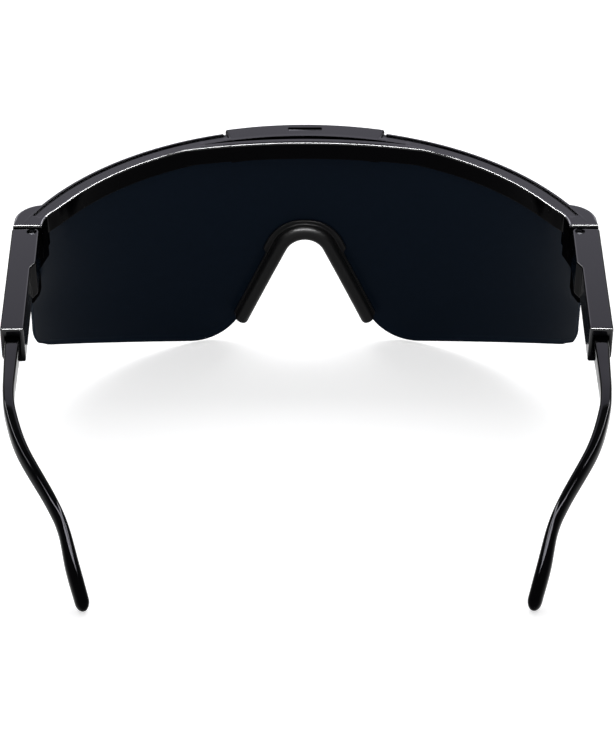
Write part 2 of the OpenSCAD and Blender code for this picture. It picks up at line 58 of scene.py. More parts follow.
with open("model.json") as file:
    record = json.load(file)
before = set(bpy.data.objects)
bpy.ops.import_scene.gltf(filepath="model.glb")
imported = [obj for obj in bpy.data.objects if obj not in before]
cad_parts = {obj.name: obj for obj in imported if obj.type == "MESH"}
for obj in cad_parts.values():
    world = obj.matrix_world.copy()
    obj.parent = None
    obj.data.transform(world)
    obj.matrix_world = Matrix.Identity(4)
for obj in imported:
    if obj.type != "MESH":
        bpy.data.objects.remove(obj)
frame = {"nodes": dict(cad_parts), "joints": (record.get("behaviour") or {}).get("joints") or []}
CAD_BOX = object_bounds()
JOINTS = {joint["name"]: joint for joint in frame["joints"]}
MM = 0.001
SIDES = (("left", 1), ("right", -1))
ARC_STEPS = 8            # in the arc of a rounded corner
LENS_CLEAR = 0.1 * MM    # between a face of the lens and its groove
SLIDE_CLEAR = 0.12 * MM  # between the arm's bar and its socket
HINGE_GAP = 1.2 * MM     # between an end block and its sleeve
TILT_IN = 3.9 * MM       # from an end block's rear face to the tilt pin
SLOT_HALF = 1.35 * MM    # half the width of the slot for the tilt link
SENSOR = 36              # the width of the camera's sensor, in mm
LONG_SIDE = 735          # the picture's longer side, in pixels, which that width spans
# How far the rear wall swings out, in mm, at each angle in degrees on its way to a block
BLOCK_BEND = (58, 61.2, 64.2, 66.2, 68.4), (0, 0.2, 0.8, 0.5, -0.4)


def size(name, description, default):
    """A length that a user would change, given in millimetres and kept in metres."""
    return FloatProperty(name=name, description=description, default=default * MM,
                         min=0.0, precision=5, unit="LENGTH")


def turn(name, description, default):
    """An angle that a user would change, given in degrees and kept in radians."""
    return FloatProperty(name=name, description=description, default=math.radians(default),
                         precision=4, subtype="ANGLE")


def colour(name, description, default):
    """A colour as an sRGB hex value."""
    return StringProperty(name=name, description=description, default=default)


class BrowSizes(bpy.types.PropertyGroup):
    """The moulded brow: its wrap, walls, lip, platform, end blocks and lens lugs."""

    front_width: size("Front width", "Width over the two end blocks", 156)
    block_angle: turn("Block angle", "Angle round to the end blocks", 68.5)
    depth: size("Brow depth", "From the rear face to the front face", 5.2)
    rear_wall: size("Rear wall", "Thickness of the rear wall", 1.4)
    rear_height: size("Rear wall height", "Height of the rear wall", 5.6)
    front_height: size("Front wall height", "Height of the front wall", 9.5)
    top: size("Top", "Thickness of the top over the lens", 2)
    edge: size("Edge rounding", "Rounding of the long top edges", 0.55)
    lip_radius: size("Lip radius", "Radius of the rear lip, seen from above", 139)
    lip_stand: size("Lip stand", "How far the lip stands behind the rear wall", 3.7)
    lip_width: size("Lip width", "Thickness of the lip in the middle", 2.4)
    lip_height: size("Lip height", "Height of the lip", 5.3)
    vent_half: size("Vent half length", "Half the length of the vent slot", 28.5)
    platform_half: size("Platform half width", "Half the width of the platform", 22.8)
    platform_out: size("Platform stand", "How far the platform stands out in front", 1.8)
    platform_rise: size("Platform rise", "How far the platform rises above the brow", 0.15)
    pocket_depth: size("Pocket depth", "Depth of the pocket in the platform", 0.42)
    pocket_in: size("Pocket in", "From the platform's front to the pocket's rear edge", 3.5)
    pocket_length: size("Pocket length", "Length of the pocket in the platform", 9.8)
    pocket_width: size("Pocket width", "Width of the pocket in the platform", 1.8)
    ridge: size("Ridge", "Thickness of the ridge along the front edge", 0.9)
    channel: size("Channel", "Width of the channel behind the ridge", 1.9)
    channel_depth: size("Channel depth", "Depth of the channel", 0.45)
    notch: size("Notch", "Gap between the ridge's end and the platform", 0.9)
    block_width: size("Block width", "Width of an end block", 7.3)
    block_height: size("Block height", "Height of an end block", 10.5)
    block_edge: size("Block edge", "Rounding of the block's top and bottom edges", 0.8)
    block_round: size("Block corner", "Rounding of the block's outer front corner", 8)
    lug_drop: size("Lug drop", "How far the side lug reaches down", 20)
    lug_width: size("Lug width", "Width of the side lug along the lens", 5.6)


class LensSizes(bpy.types.PropertyGroup):
    """The one-piece cylindrical lens."""

    thickness: size("Lens thickness", "Thickness of the lens", 2)
    past: turn("Lens past blocks", "How far the lens runs on past the end blocks", 4.7)
    drop: size("Lens drop", "From the brow's top to the bottom plane in front", 67.5)
    rise: FloatProperty(name="Bottom rise", default=0.653,
                        description="Rise of the bottom plane for each unit towards the rear")
    corner: size("Lens corner", "Rounding of the lower outer corners", 2.8)
    lobe: size("Lens lobe", "Rounding of the lobes beside the nose", 18)
    edge: size("Lens edge", "Rounding of the lens's cut edge", 0.35)
    trim: turn("Side trim", "How much the lens is shorter at each side edge", 1)
    slant: turn("Side slant", "How much shorter still it is at its outer face", 1.9)


class PadSizes(bpy.types.PropertyGroup):
    """The rubber saddle that clips over the edge of the nose opening."""

    arch: size("Arch radius", "Radius of the arch over the nose", 5.9)
    drop: size("Arch drop", "Depth of the arch's centre below the brow's top", 39.1)
    lean: turn("Leg lean", "Lean of the legs from upright", 26)
    leg: size("Leg length", "Length of a leg below the arch", 27)
    width: size("Roll width", "Width of the roll", 4)
    depth: size("Roll depth", "Depth of the roll behind the lens", 4.4)
    flange: size("Flange", "Thickness and reach of the flanges", 1)


class TempleSizes(bpy.types.PropertyGroup):
    """The square sleeves and the arms that slide in them."""

    hinge_in: size("Hinge in", "From the block's outer face to the hinge pin", 5.3)
    hinge_back: size("Hinge back", "From the block's rear face to the hinge pin", 2.9)
    sleeve_height: size("Sleeve height", "Height of a sleeve", 10)
    sleeve_length: size("Sleeve length", "Length behind the hinge pin", 46.3)
    sleeve_out: size("Sleeve out", "From the hinge pin to the outer face", 5.3)
    front_width: size("Sleeve front width", "Width at the hinge", 7.2)
    rear_width: size("Sleeve rear width", "Width behind the step", 5.9)
    step: size("Step", "From the hinge pin to the step", 15)
    step_length: size("Step length", "Length of the step", 2.6)
    toe_in: turn("Toe-in", "Toe-in of the sleeve", 1.9)
    arm_width: size("Arm width", "Width of the arm's bar", 3.6)
    arm_height: size("Arm height", "Height of the arm's bar", 5.5)
    arm_inside: size("Arm inside", "Length of the bar inside the sleeve", 34)
    pin_radius: size("Pin radius", "Radius of the pins", 1)
    recess_radius: size("Recess radius", "Radius of the recess over a hinge pin", 1.35)
    recess_depth: size("Recess depth", "Depth of the recess over a hinge pin", 0.9)


class Finishes(bpy.types.PropertyGroup):
    """The colours, as sRGB hex values."""

    nylon: colour("Nylon", "Moulded black nylon of the brow and sleeves", "030304")
    # The worn colour lightens the marked edges: partly wear, and partly a painted highlight along the
    # top edges.
    nylon_worn_and_highlit: colour("Worn nylon", "The same where edges are rubbed", "26262a")
    lens: colour("Lens", "Tinted polycarbonate", "151e2a")
    # A painted sheen: the colour that the lens turns to at a slant, standing in for the coating's
    # reflection.
    lens_slant_sheen: colour("Lens at a slant", "The lens's coating seen at a slant", "131c26")
    rubber: colour("Rubber", "Moulded rubber of the nose pad", "161617")
    nylon_gloss: colour("Nylon's gloss", "Tint of the black nylon's reflections", "f4f2ff")
    steel: colour("Steel", "Drawn steel of the pins", "a9abb0")
    floor: colour("Floor", "The plain pale floor", "e9e9ea")


class StageSizes(bpy.types.PropertyGroup):
    """The camera, in the place that the photograph was taken from."""

    distance: size("Camera distance", "From the camera to the middle of the brow", 660)
    height: turn("Camera height", "How far the camera looks down on the brow's top", 35)
    side: turn("Camera side", "How far the camera stands round to the wearer's left", 0.45)
    roll: turn("Camera roll", "How far the camera is turned about its line of sight", 0.2)
    lens: FloatProperty(name="Camera lens", description="Focal length in millimetres",
                        default=114.76, unit="CAMERA")
    aim: FloatVectorProperty(name="Aim", size=2, default=(-2.4, 224.5), precision=2,
                             description="Where the middle of the lip lies in the picture, "
                                         "in pixels right of and above its centre")


class Sunglasses(bpy.types.PropertyGroup):
    """All sizes, finishes and settings of the stage."""

    brow: PointerProperty(type=BrowSizes)
    lens: PointerProperty(type=LensSizes)
    pad: PointerProperty(type=PadSizes)
    temple: PointerProperty(type=TempleSizes)
    finish: PointerProperty(type=Finishes)
    stage: PointerProperty(type=StageSizes)


# Frames: the wearer's, and a sleeve's own
def wrap_radius(brow):
    """The radius of the brow's rear face, which runs round to the end blocks."""
    return (brow.front_width / 2 - brow.block_width) / math.sin(brow.block_angle)


def wrap_centre(brow):
    """How far the wrap's centre lies behind the lip."""
    return wrap_radius(brow) - brow.lip_stand


def block_rear(brow):
    """The rear face of the end blocks, where their inner edge meets the brow's rear face."""
    return wrap_centre(brow) - wrap_radius(brow) * math.cos(brow.block_angle)


def half_wrap(s):
    """Half the angle that the lens wraps."""
    return s.brow.block_angle + s.lens.past


def hinge_point(s):
    """The middle of the left hinge pin, as worn."""
    return np.array([s.brow.front_width / 2 - s.temple.hinge_in,
                     block_rear(s.brow) + s.temple.hinge_back, -s.temple.sleeve_height / 2])


def on_table(points, s):
    """Worn points laid on the table: turned so that up is the fold joint's axis, and moved
    so that the hinge pin lies on that joint."""
    fold = JOINTS["fold_left"]
    up = np.array(fold["axis"])
    back = np.cross(up, (1, 0, 0))
    return (points - hinge_point(s)) @ np.array([(1, 0, 0), back, up]) + np.array(fold["pos_m"])


def along_sleeve(points, s):
    """Points given as outward, backward and up from the hinge pin, turned by the toe-in."""
    c, n = math.cos(s.temple.toe_in), math.sin(s.temple.toe_in)
    return points @ np.array([(c, n, 0), (-n, c, 0), (0, 0, 1)]) + hinge_point(s)


# Shapes: profiles and the paths that carry them
def unit(v):
    """Vectors of length 1."""
    return v / np.linalg.norm(v, axis=-1, keepdims=True)


def rounded(corners, radii, marked=0.0, steps=ARC_STEPS):
    """A closed outline whose corners are arcs tangent to both sides, and its edge marks: as
    much as each corner is marked in the arc's middle, falling to 0 at its ends. On the nylon
    the marks lighten and polish the edges, partly as wear and partly as a painted highlight.
    An arc's centre lies on the corner's bisector, and its points turn evenly between the
    tangent points."""
    p = np.asarray(corners, float)
    r = np.broadcast_to(radii, p.shape[:-1])[..., None]
    before = unit(np.roll(p, 1, -2) - p)
    after = unit(np.roll(p, -1, -2) - p)
    half = np.arccos(np.clip((before * after).sum(-1, keepdims=True), -1, 1)) / 2
    centre = p + unit(before + after) * r / np.sin(half)
    start, end = p + before * r / np.tan(half) - centre, p + after * r / np.tan(half) - centre
    t = np.linspace(0, 1, steps + 1)[:, None]
    sweep = (math.pi - 2 * half)[..., None, :]
    arc = (np.sin((1 - t) * sweep) * start[..., None, :] + np.sin(t * sweep) * end[..., None, :])
    points = centre[..., None, :] + arc / np.sin(sweep)
    edge_marks = np.broadcast_to(marked, p.shape[:-1])[..., None] * (4 * t * (1 - t))[..., 0]
    lead = p.shape[:-2]
    return points.reshape(*lead, -1, 2), edge_marks.reshape(*lead, -1)


def profiles(corners, radii, like, marked=0.0, steps=ARC_STEPS):
    """A rounded outline for each station: a corner's two coordinates and its radius are
    one number, or hold one for each station, as like does."""
    one = np.ones_like(like)
    section = np.stack([np.stack([x * one, y * one], -1) for x, y in corners], 1)
    return rounded(section, np.stack([r * one for r in radii], 1), marked, steps)


def drawn_in(outline, by):
    """An outline moved inwards, square to itself, by a distance."""
    along = unit(np.roll(outline, -1, -2) - np.roll(outline, 1, -2))
    normal = np.stack([along[..., 1], -along[..., 0]], -1)
    x, y = outline[..., 0], outline[..., 1]
    area = (x * np.roll(y, -1, -1) - y * np.roll(x, -1, -1)).sum(-1)
    return outline - normal * np.sign(area)[..., None, None] * by


def end_drop(q, r):
    """How far a rounded end of radius r is drawn in at a distance q from its tip."""
    return r - np.sqrt(np.clip(r * r - (r - np.minimum(q, r)) ** 2, 0, None))


def spaced(low, high, count, marks=(), reach=0.0, fine=9):
    """Even steps from low to high, with finer ones round the marks."""
    near = [m + np.linspace(-reach, reach, fine) for m in marks]
    return np.unique(np.clip(np.concatenate([np.linspace(low, high, count), *near]), low, high))


def soft_step(x, edge, width):
    """0 below edge and 1 above it, smoothly over a width."""
    t = np.clip((x - edge) / width + 0.5, 0, 1)
    return t * t * (3 - 2 * t)


def wrapped(r, a, z, brow):
    """Worn points at radii and angles round the wrap, and at heights."""
    return np.stack([r * np.sin(a), wrap_centre(brow) - r * np.cos(a), z], -1)


def round_wrap(section, angles, brow):
    """Sections of radius and height, one for each angle off the middle of the wrap."""
    return wrapped(section[..., 0], angles[:, None], section[..., 1], brow)


# Meshes
def skin(name, rings, edge_marks=None):
    """A closed surface through rings of points, capped at both ends, faces outwards."""
    n, m = rings.shape[:2]
    i = np.arange(n * m).reshape(n, m)
    a, b = i[:-1], i[1:]
    quads = np.stack([a, np.roll(a, -1, 1), np.roll(b, -1, 1), b], -1).reshape(-1, 4)
    mesh = bpy.data.meshes.new(name)
    mesh.from_pydata(rings.reshape(-1, 3), [], quads.tolist() + [i[0, ::-1].tolist(), i[-1].tolist()])
    p = rings - rings.mean((0, 1))
    a, b, c, d = (p.reshape(-1, 3)[quads[:, k]] for k in range(4))
    if (np.cross(a, b) * c + np.cross(a, c) * d).sum() < 0:
        mesh.flip_normals()
    # The edge marks: on the nylon they lighten the edges, partly as wear and partly as a painted
    # highlight; on the lens they mark its cut edge
    if edge_marks is not None:
        marked = mesh.attributes.new("marked", "FLOAT", "POINT")
        marked.data.foreach_set("value", np.broadcast_to(edge_marks, (n, m)).reshape(-1).astype(np.float32))
    mesh.update()
    return mesh


def new_object(name, data):
    """An object for that data, in the scene."""
    made = bpy.data.objects.new(name, data)
    bpy.context.scene.collection.objects.link(made)
    return made


def carve(piece, *cutters):
    """Takes closed cutting meshes out of a piece."""
    for mesh in cutters:
        tool = new_object("tool", mesh)
        cut = piece.modifiers.new("cut", "BOOLEAN")
        cut.operation, cut.solver, cut.object = "DIFFERENCE", "EXACT", tool
        graph = bpy.context.evaluated_depsgraph_get()
        made = bpy.data.meshes.new_from_object(piece.evaluated_get(graph))
        piece.modifiers.clear()
        made.name = piece.data.name
        piece.data = made
        bpy.data.objects.remove(tool)


def finish_piece(piece, material, body, slot, replaces=(), sharp=38):
    """Smooth shading up to edges of sharp degrees, with flats kept flat, a material, and
    the body that it rides on."""
    piece.data.shade_smooth()
    piece.data.set_sharp_from_angle(angle=math.radians(sharp))
    piece.data.materials.append(material)
    normals = piece.modifiers.new("normals", "WEIGHTED_NORMAL")
    normals.keep_sharp = True
    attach(piece, body)
    if replaces:
        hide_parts(*replaces)


def new_piece(name, rings, s, edge_marks=None):
    """An object for worn rings, at the origin, with its place in its mesh."""
    return new_object(name, skin(name, on_table(rings, s), edge_marks))


def prism(low, high, s, place=None):
    """A closed box between two worn corners, or corners in the frame of place."""
    x0, y0, z0 = low
    x1, y1, z1 = high
    ring = np.array([(x0, y0), (x1, y0), (x1, y1), (x0, y1)])
    rings = np.stack([np.column_stack([ring, np.full(4, z)]) for z in (z0, z1)])
    return skin("box", on_table(place(rings, s) if place else rings, s))


def drum(centre, axis, radius, length, s, place=None):
    """A closed cylinder that starts at centre and runs along axis."""
    axis = unit(np.array(axis, float))
    side = unit(np.cross(axis, (0.3, 0.5, 0.8)))
    a = np.linspace(0, 2 * math.pi, 48, endpoint=False)[:, None]
    ring = radius * (np.cos(a) * side + np.sin(a) * np.cross(axis, side)) + np.array(centre)
    rings = np.stack([ring, ring + axis * length])
    return skin("drum", on_table(place(rings, s) if place else rings, s))


def mirrored(rings, side):
    """The same rings on the wearer's left (1) or right (-1)."""
    return rings * np.array([side, 1, 1])


# Materials
def linear(value):
    """An sRGB hex value as linear light."""
    s = np.array([int(value[k:k + 2], 16) for k in (0, 2, 4)]) / 255
    return (*np.where(s <= 0.04045, s / 12.92, ((s + 0.055) / 1.055) ** 2.4), 1.0)


def add(tree, kind, inputs=None, links=None, **settings):
    """A node with its settings, its input values and its links, each from an output or
    from a node's first output."""
    node = tree.nodes.new(kind)
    for name, value in settings.items():
        setattr(node, name, value)
    for name, value in (inputs or {}).items():
        node.inputs[name].default_value = value
    for name, source in (links or {}).items():
        if isinstance(source, bpy.types.Node):
            source = source.outputs[0]
        tree.links.new(source, node.inputs[name])
    return node


def new_material(name):
    """An empty material and its node tree."""
    material = bpy.data.materials.new(name)
    material.use_nodes = True
    material.node_tree.nodes.clear()
    return material, material.node_tree


def black_nylon(finish, smooth, satin, grit, ior=1.45):
    """Black nylon, injection moulded: flow marks and a fine grain break up its reflections.
    Its marked outer edges take a polished coat, which catches the lamps, and a patchy lighter
    grey, which is partly wear and partly a painted highlight.
    Smooth and satin are the limits of its roughness, and grit is the strength of its grain,
    which is drawn coarser than the real one, so that it shows."""
    material, tree = new_material("nylon")
    place = add(tree, "ShaderNodeTexCoord").outputs["Object"]
    worn = add(tree, "ShaderNodeAttribute", attribute_name="marked").outputs["Fac"]
    patches = add(tree, "ShaderNodeTexNoise", {"Scale": 1 / (1.6 * MM)}, {"Vector": place})
    # Painted highlight, partly wear: the base turns to the worn colour in patches on the marked edges
    edge = add(tree, "ShaderNodeMath", links={0: worn, 1: patches}, operation="MULTIPLY")
    base = add(tree, "ShaderNodeMix", {6: linear(finish.nylon), 7: linear(finish.nylon_worn_and_highlit)},
               {0: edge}, data_type="RGBA")
    flow = add(tree, "ShaderNodeTexNoise", {"Scale": 1 / (14 * MM), "Detail": 1.0},
               {"Vector": place})
    rough = add(tree, "ShaderNodeMapRange", {"To Min": smooth, "To Max": satin}, {"Value": flow})
    fine = add(tree, "ShaderNodeTexNoise", {"Scale": 1 / (0.35 * MM)}, {"Vector": place})
    relief = add(tree, "ShaderNodeBump", {"Strength": grit, "Distance": 0.006 * MM},
                 {"Height": fine})
    shader = add(tree, "ShaderNodeBsdfPrincipled",
                 {"IOR": ior, "Specular IOR Level": 0.0225,
                  "Specular Tint": linear(finish.nylon_gloss),
                  "Coat Roughness": 0.06, "Coat IOR": 1.5},
                 {"Base Color": base.outputs[2], "Roughness": rough, "Coat Weight": worn,
                  "Normal": relief})
    add(tree, "ShaderNodeOutputMaterial", links={"Surface": shader})
    return material


def moulded_nylon(finish):
    """The brow's and sleeves' nylon, as it leaves a fine-ground mould: soft reflections."""
    return black_nylon(finish, 0.08, 0.14, 0.2)


def polished_nylon(finish):
    """The arms' nylon, from a polished mould: thin, crisp reflections."""
    return black_nylon(finish, 0.03, 0.06, 0.05)


def shaded_nylon(finish):
    """The lugs' nylon: a shaded copy of the black nylon, rough and with its reflections nearly
    turned off, so that the lugs read as in the shade of the sleeves.
    """
    return black_nylon(finish, 0.5, 0.6, 0.2, 1.08)


def tinted_polycarbonate(finish):
    """Cast and hard-coated polycarbonate, tinted so dark that nothing shows through: very
    smooth, with an anti-reflection coating, and matt where its edge is cut. The coating's
    cool sheen at a slant is painted into the colour, which turns to a slant tint there."""
    material, tree = new_material("tinted_polycarbonate")
    place = add(tree, "ShaderNodeTexCoord").outputs["Object"]
    # Painted sheen: the colour turns to the slant tint where the lens is seen at a slant
    slant = add(tree, "ShaderNodeLayerWeight", {"Blend": 0.35}).outputs["Facing"]
    base = add(tree, "ShaderNodeMix", {6: linear(finish.lens), 7: linear(finish.lens_slant_sheen)},
               {0: slant}, data_type="RGBA")
    smears = add(tree, "ShaderNodeTexNoise", {"Scale": 1 / (22 * MM), "Detail": 3.0},
                 {"Vector": place})
    polish = add(tree, "ShaderNodeMapRange", {"To Min": 0.05, "To Max": 0.12}, {"Value": smears})
    cut = add(tree, "ShaderNodeAttribute", attribute_name="marked").outputs["Fac"]
    sawn = add(tree, "ShaderNodeMath", {1: 0.7}, {0: cut}, operation="MULTIPLY")
    rough = add(tree, "ShaderNodeMath", links={0: sawn, 1: polish}, operation="ADD")
    shader = add(tree, "ShaderNodeBsdfPrincipled", {"IOR": 1.45, "Specular IOR Level": 0.012},
                 {"Base Color": base.outputs[2], "Roughness": rough})
    add(tree, "ShaderNodeOutputMaterial", links={"Surface": shader})
    return material


def moulded_rubber(finish):
    """Soft thermoplastic rubber from a fine-blasted mould: satin, with a grain that
    spreads its highlights, drawn coarser than the real one, so that it shows."""
    material, tree = new_material("moulded_rubber")
    place = add(tree, "ShaderNodeTexCoord").outputs["Object"]
    patch = add(tree, "ShaderNodeTexNoise", {"Scale": 1 / (5 * MM)}, {"Vector": place})
    base = add(tree, "ShaderNodeMix", {6: linear(finish.rubber), 7: linear(finish.nylon)},
               {0: patch}, data_type="RGBA")
    rough = add(tree, "ShaderNodeMapRange", {"To Min": 0.34, "To Max": 0.44}, {"Value": patch})
    grit = add(tree, "ShaderNodeTexNoise", {"Scale": 1 / (0.22 * MM)}, {"Vector": place})
    relief = add(tree, "ShaderNodeBump", {"Strength": 0.35, "Distance": 0.02 * MM},
                 {"Height": grit})
    shader = add(tree, "ShaderNodeBsdfPrincipled", {"IOR": 1.5, "Specular IOR Level": 0.12},
                 {"Base Color": base.outputs[2], "Roughness": rough, "Normal": relief})
    add(tree, "ShaderNodeOutputMaterial", links={"Surface": shader})
    return material


def drawn_steel(finish):
    """Drawn steel wire with sheared ends: bright, with the die's marks on it, drawn coarser
    than the real ones, so that they show."""
    material, tree = new_material("drawn_steel")
    place = add(tree, "ShaderNodeTexCoord").outputs["Object"]
    marks = add(tree, "ShaderNodeTexNoise", {"Scale": 1 / (0.3 * MM), "Detail": 4.0},
                {"Vector": place})
    rough = add(tree, "ShaderNodeMapRange", {"To Min": 0.2, "To Max": 0.38}, {"Value": marks})
    relief = add(tree, "ShaderNodeBump", {"Strength": 0.2, "Distance": 0.01 * MM},
                 {"Height": marks})
    shader = add(tree, "ShaderNodeBsdfPrincipled",
                 {"Base Color": linear(finish.steel), "Metallic": 1.0},
                 {"Roughness": rough, "Normal": relief})
    add(tree, "ShaderNodeOutputMaterial", links={"Surface": shader})
    return material


def made_once(maker, finish):
    """The material of that maker, made at its first use."""
    known = bpy.data.materials.get(maker.__name__)
    if known is None:
        known = maker(finish)
        known.name = maker.__name__
    return known


# The brow
def radii(s):
    """The rings of the wrap: rear face, groove and lens faces, front face."""
    rear = wrap_radius(s.brow)
    inner = rear + s.brow.rear_wall
    outer = inner + s.lens.thickness + 2 * LENS_CLEAR
    return rear, inner, outer, rear + s.brow.depth


def platform_angle(brow):
    """Half the angle that the platform spans."""
    return math.asin(brow.platform_half / (wrap_radius(brow) + brow.depth + brow.platform_out))


def lens_top_angle(s):
    """Where the lens's full height ends, a thin wall before the tilt link's slot."""
    outer, wall = radii(s)[2] - LENS_CLEAR, 0.7 * MM
    return math.asin((hinge_point(s)[0] - SLOT_HALF - wall) / outer) - math.radians(0.6)


def lens_face_angle(s):
    """Where the lens's inner face has just run into the end block."""
    inner, into = radii(s)[1] + LENS_CLEAR, 0.2 * MM
    return math.asin((s.brow.front_width / 2 - s.brow.block_width + into) / inner)


def channel_end_angle(s):
    """Where the channel ends, on top of the end block."""
    return lens_top_angle(s) + math.radians(3.4)


def vent_front(angles, brow):
    """The radius of the vent's front edge, an arc flatter than the wrap, at each angle."""
    half, ahead, rear = brow.vent_half, 0.4 * MM, wrap_radius(brow)
    sag = rear - math.sqrt(rear**2 - half**2) - 1 * MM + ahead
    arc = (half**2 + sag**2) / (2 * sag)
    off = arc - rear - ahead
    c = np.cos(angles)
    return -off * c + np.sqrt((off * c) ** 2 - off**2 + arc**2)


def brow_bar(s):
    """The bar's section, a hook over the lens's top edge, carried round the wrap. The
    channel, the notch and the vent's edge come and go with the angle."""
    b = s.brow
    rear, inner, outer, front = radii(s)
    end = b.block_angle - math.radians(0.2)
    start = platform_angle(b)
    notch_end = start + b.notch / front
    channel_end = channel_end_angle(s)
    vent_end = math.asin(b.vent_half / (rear + 1 * MM))
    fine = math.radians(0.25)
    marks = [k * m for k in (-1, 1) for m in (start, notch_end, channel_end, vent_end)]
    angles = spaced(-end, end, 181, marks, 2 * fine, 13)
    off = np.abs(angles)
    depth = b.channel_depth * (soft_step(off, start, fine) - soft_step(off, channel_end, fine))
    depth = np.maximum(depth, 0.02 * MM)
    ridge = -depth * (1 - soft_step(off, notch_end, fine)) + 0.01 * MM
    wall = rear + (vent_front(angles, b) - rear) * (1 - soft_step(off, vent_end, 2 * fine))
    wall = wall + np.interp(np.degrees(off), *BLOCK_BEND) * MM
    ridge_in, channel_in = front - b.ridge, front - b.ridge - b.channel
    corners = [(inner, -b.rear_height), (wall, -b.rear_height), (wall, 0),
               (channel_in, 0), (channel_in, -depth), (ridge_in, -depth), (ridge_in, ridge),
               (front, ridge), (front, -b.front_height), (outer, -b.front_height),
               (outer, -b.top), (inner, -b.top)]
    # The corners' radii, in the same order: those of the channel shrink with its depth
    small, soft = np.minimum(0.1 * MM, 0.25 * depth), np.minimum(0.3 * MM, 0.65 * depth)
    crisp = b.edge + (0.12 * MM - b.edge) * (1 - soft_step(off, vent_end, 2 * fine))
    ridge_edge = np.minimum(small, 0.4 * (ridge + depth))
    wanted = [0.25 * MM, 0.3 * MM, crisp, soft, small, small, ridge_edge,
              np.minimum(0.35 * MM, b.edge), 0.35 * MM, 0.25 * MM, 0.2 * MM, 0.2 * MM]
    # Only the rear top edge, past the vent, is marked: lightened partly as wear and partly as a
    # painted highlight, and polished
    marked = np.eye(12)[2] * soft_step(off, vent_end, 2 * fine)[:, None]
    outline, edge_marks = profiles(corners, wanted, angles, marked, 6)
    return round_wrap(outline, angles, b), edge_marks


def rear_lip(s):
    """The flattened lip: a wall between two arcs of different radius, whose ends run into
    the bar, with a fine groove along its top. The top lies a hair below the bar's, so that
    the two don't coincide."""
    b = s.brow
    rear, *_ = radii(s)
    half, into_bar, least_wall, hair = b.vent_half, 5.4 * MM, 1.2 * MM, 0.02 * MM
    sag = rear - math.sqrt(rear**2 - half**2) - 1 * MM - (b.lip_stand - b.lip_width)
    vent_rear = (half**2 + sag**2) / (2 * sag)
    x = np.linspace(-half - into_bar, half + into_bar, 121)
    back = b.lip_radius - np.sqrt(b.lip_radius**2 - x**2)
    front = -b.lip_width + vent_rear - np.sqrt(vent_rear**2 - x**2)
    front = np.minimum(front, back - least_wall)
    top = -hair
    deep = hair + 0.22 * MM * (1 - soft_step(np.abs(x), 23 * MM, 4 * MM))
    groove_in, groove_out, tiny = back - 0.95 * MM, back - 0.7 * MM, 0.3 * deep
    corners = [(front, top), (groove_in, top), (groove_in, top - deep), (groove_out, top - deep),
               (groove_out, top), (back, top), (back, -b.lip_height), (front, -b.lip_height)]
    wanted = [0.12 * MM, tiny, tiny, tiny, tiny, b.edge, 0.35 * MM, 0.3 * MM]
    # Only the rear top edge is marked: lightened partly as wear and partly as a painted highlight,
    # and polished
    outline, edge_marks = profiles(corners, wanted, x, np.eye(8)[5])
    across = np.broadcast_to(x[:, None], outline.shape[:2])
    return np.stack([across, outline[..., 0], outline[..., 1]], -1), edge_marks


def platform(s):
    """The raised platform: its top rises gently from the brow's and ends in soft corners."""
    b = s.brow
    front = radii(s)[3]
    half = platform_angle(b)
    soft = 0.7 * MM
    angles = spaced(-half, half, 61, (-half, half), soft / front, 17)
    back, face = front - 4.3 * MM, front + b.platform_out
    foot, hair = 2 * MM - b.front_height, 0.02 * MM
    section = np.array([(back, foot), (back, -hair), (face, b.platform_rise), (face, foot)])
    outline, edge_marks = rounded(section, np.array([0.2, 0.02, 0.5, 0.6]) * MM)
    drop = end_drop((half - np.abs(angles)) * front, soft)[:, None, None]
    middle = outline.mean(0)
    reach = np.abs(outline - middle).max(0)
    return round_wrap(middle + (outline - middle) * (1 - drop / reach), angles, b), edge_marks


def pocket_cut(s):
    """The pocket in the platform's top: a round-cornered outline along and across the
    wrap, carried up with sloping sides."""
    b = s.brow
    front = radii(s)[3]
    half, wide = b.pocket_length / 2, b.pocket_width / 2
    middle = front + b.platform_out - b.pocket_in + wide
    outline, _ = rounded([(-half, -wide), (half, -wide), (half, wide), (-half, wide)], 0.5 * MM)
    low, slope = b.platform_rise - b.pocket_depth, 0.6
    rings = []
    for z in (low, b.platform_rise, b.platform_rise + 0.3 * MM):
        ring = drawn_in(outline, (b.platform_rise - z) * slope)
        rings.append(np.column_stack([ring, np.full(len(ring), z)]))
    along, off, z = np.moveaxis(np.stack(rings), -1, 0)
    return skin("pocket", on_table(wrapped(middle + off, along / front, z, b), s))


def block_outline(s):
    """The end block seen from above: its rear face, outer face, a round outer corner, and
    a flank that runs inside the lens's edge to the block's inner face."""
    b = s.brow
    out, rear = b.front_width / 2, block_rear(b)
    a = np.radians(np.linspace(0, -90, 25))
    corner = np.array([out - b.block_round, rear - 3.4 * MM])
    arc = corner + b.block_round * np.stack([np.cos(a), np.sin(a)], -1)
    flank = corner + np.array([-1.5 * MM, 1.5 * MM - b.block_round])
    inner = out - b.block_width - 0.45 * MM
    inner_front = (inner - 0.05 * MM, rear - 2.9 * MM)
    return np.concatenate([[(inner, rear), (out, rear)], arc, [flank, inner_front]])


def end_block(s):
    """The block's outline carried down, drawn in along rounded top and bottom edges."""
    b = s.brow
    soft = b.block_edge
    outline = block_outline(s)
    turn = np.linspace(0, math.pi / 2, 7)
    inset = soft * (1 - np.sin(turn))
    down = soft * (1 - np.cos(turn))
    heights = np.concatenate([-0.01 * MM - down, (down - b.block_height)[::-1]])
    insets = np.concatenate([inset, inset[::-1]])
    rings = [np.column_stack([drawn_in(outline, i), np.full(len(outline), z)])
             for i, z in zip(insets, heights)]
    # Only the top edge is marked, not the bottom one: lightened partly as wear and partly as a
    # painted highlight, and polished
    edge_marks = np.concatenate([np.sin(2 * turn), 0 * turn])[:, None]
    return np.stack(rings), edge_marks


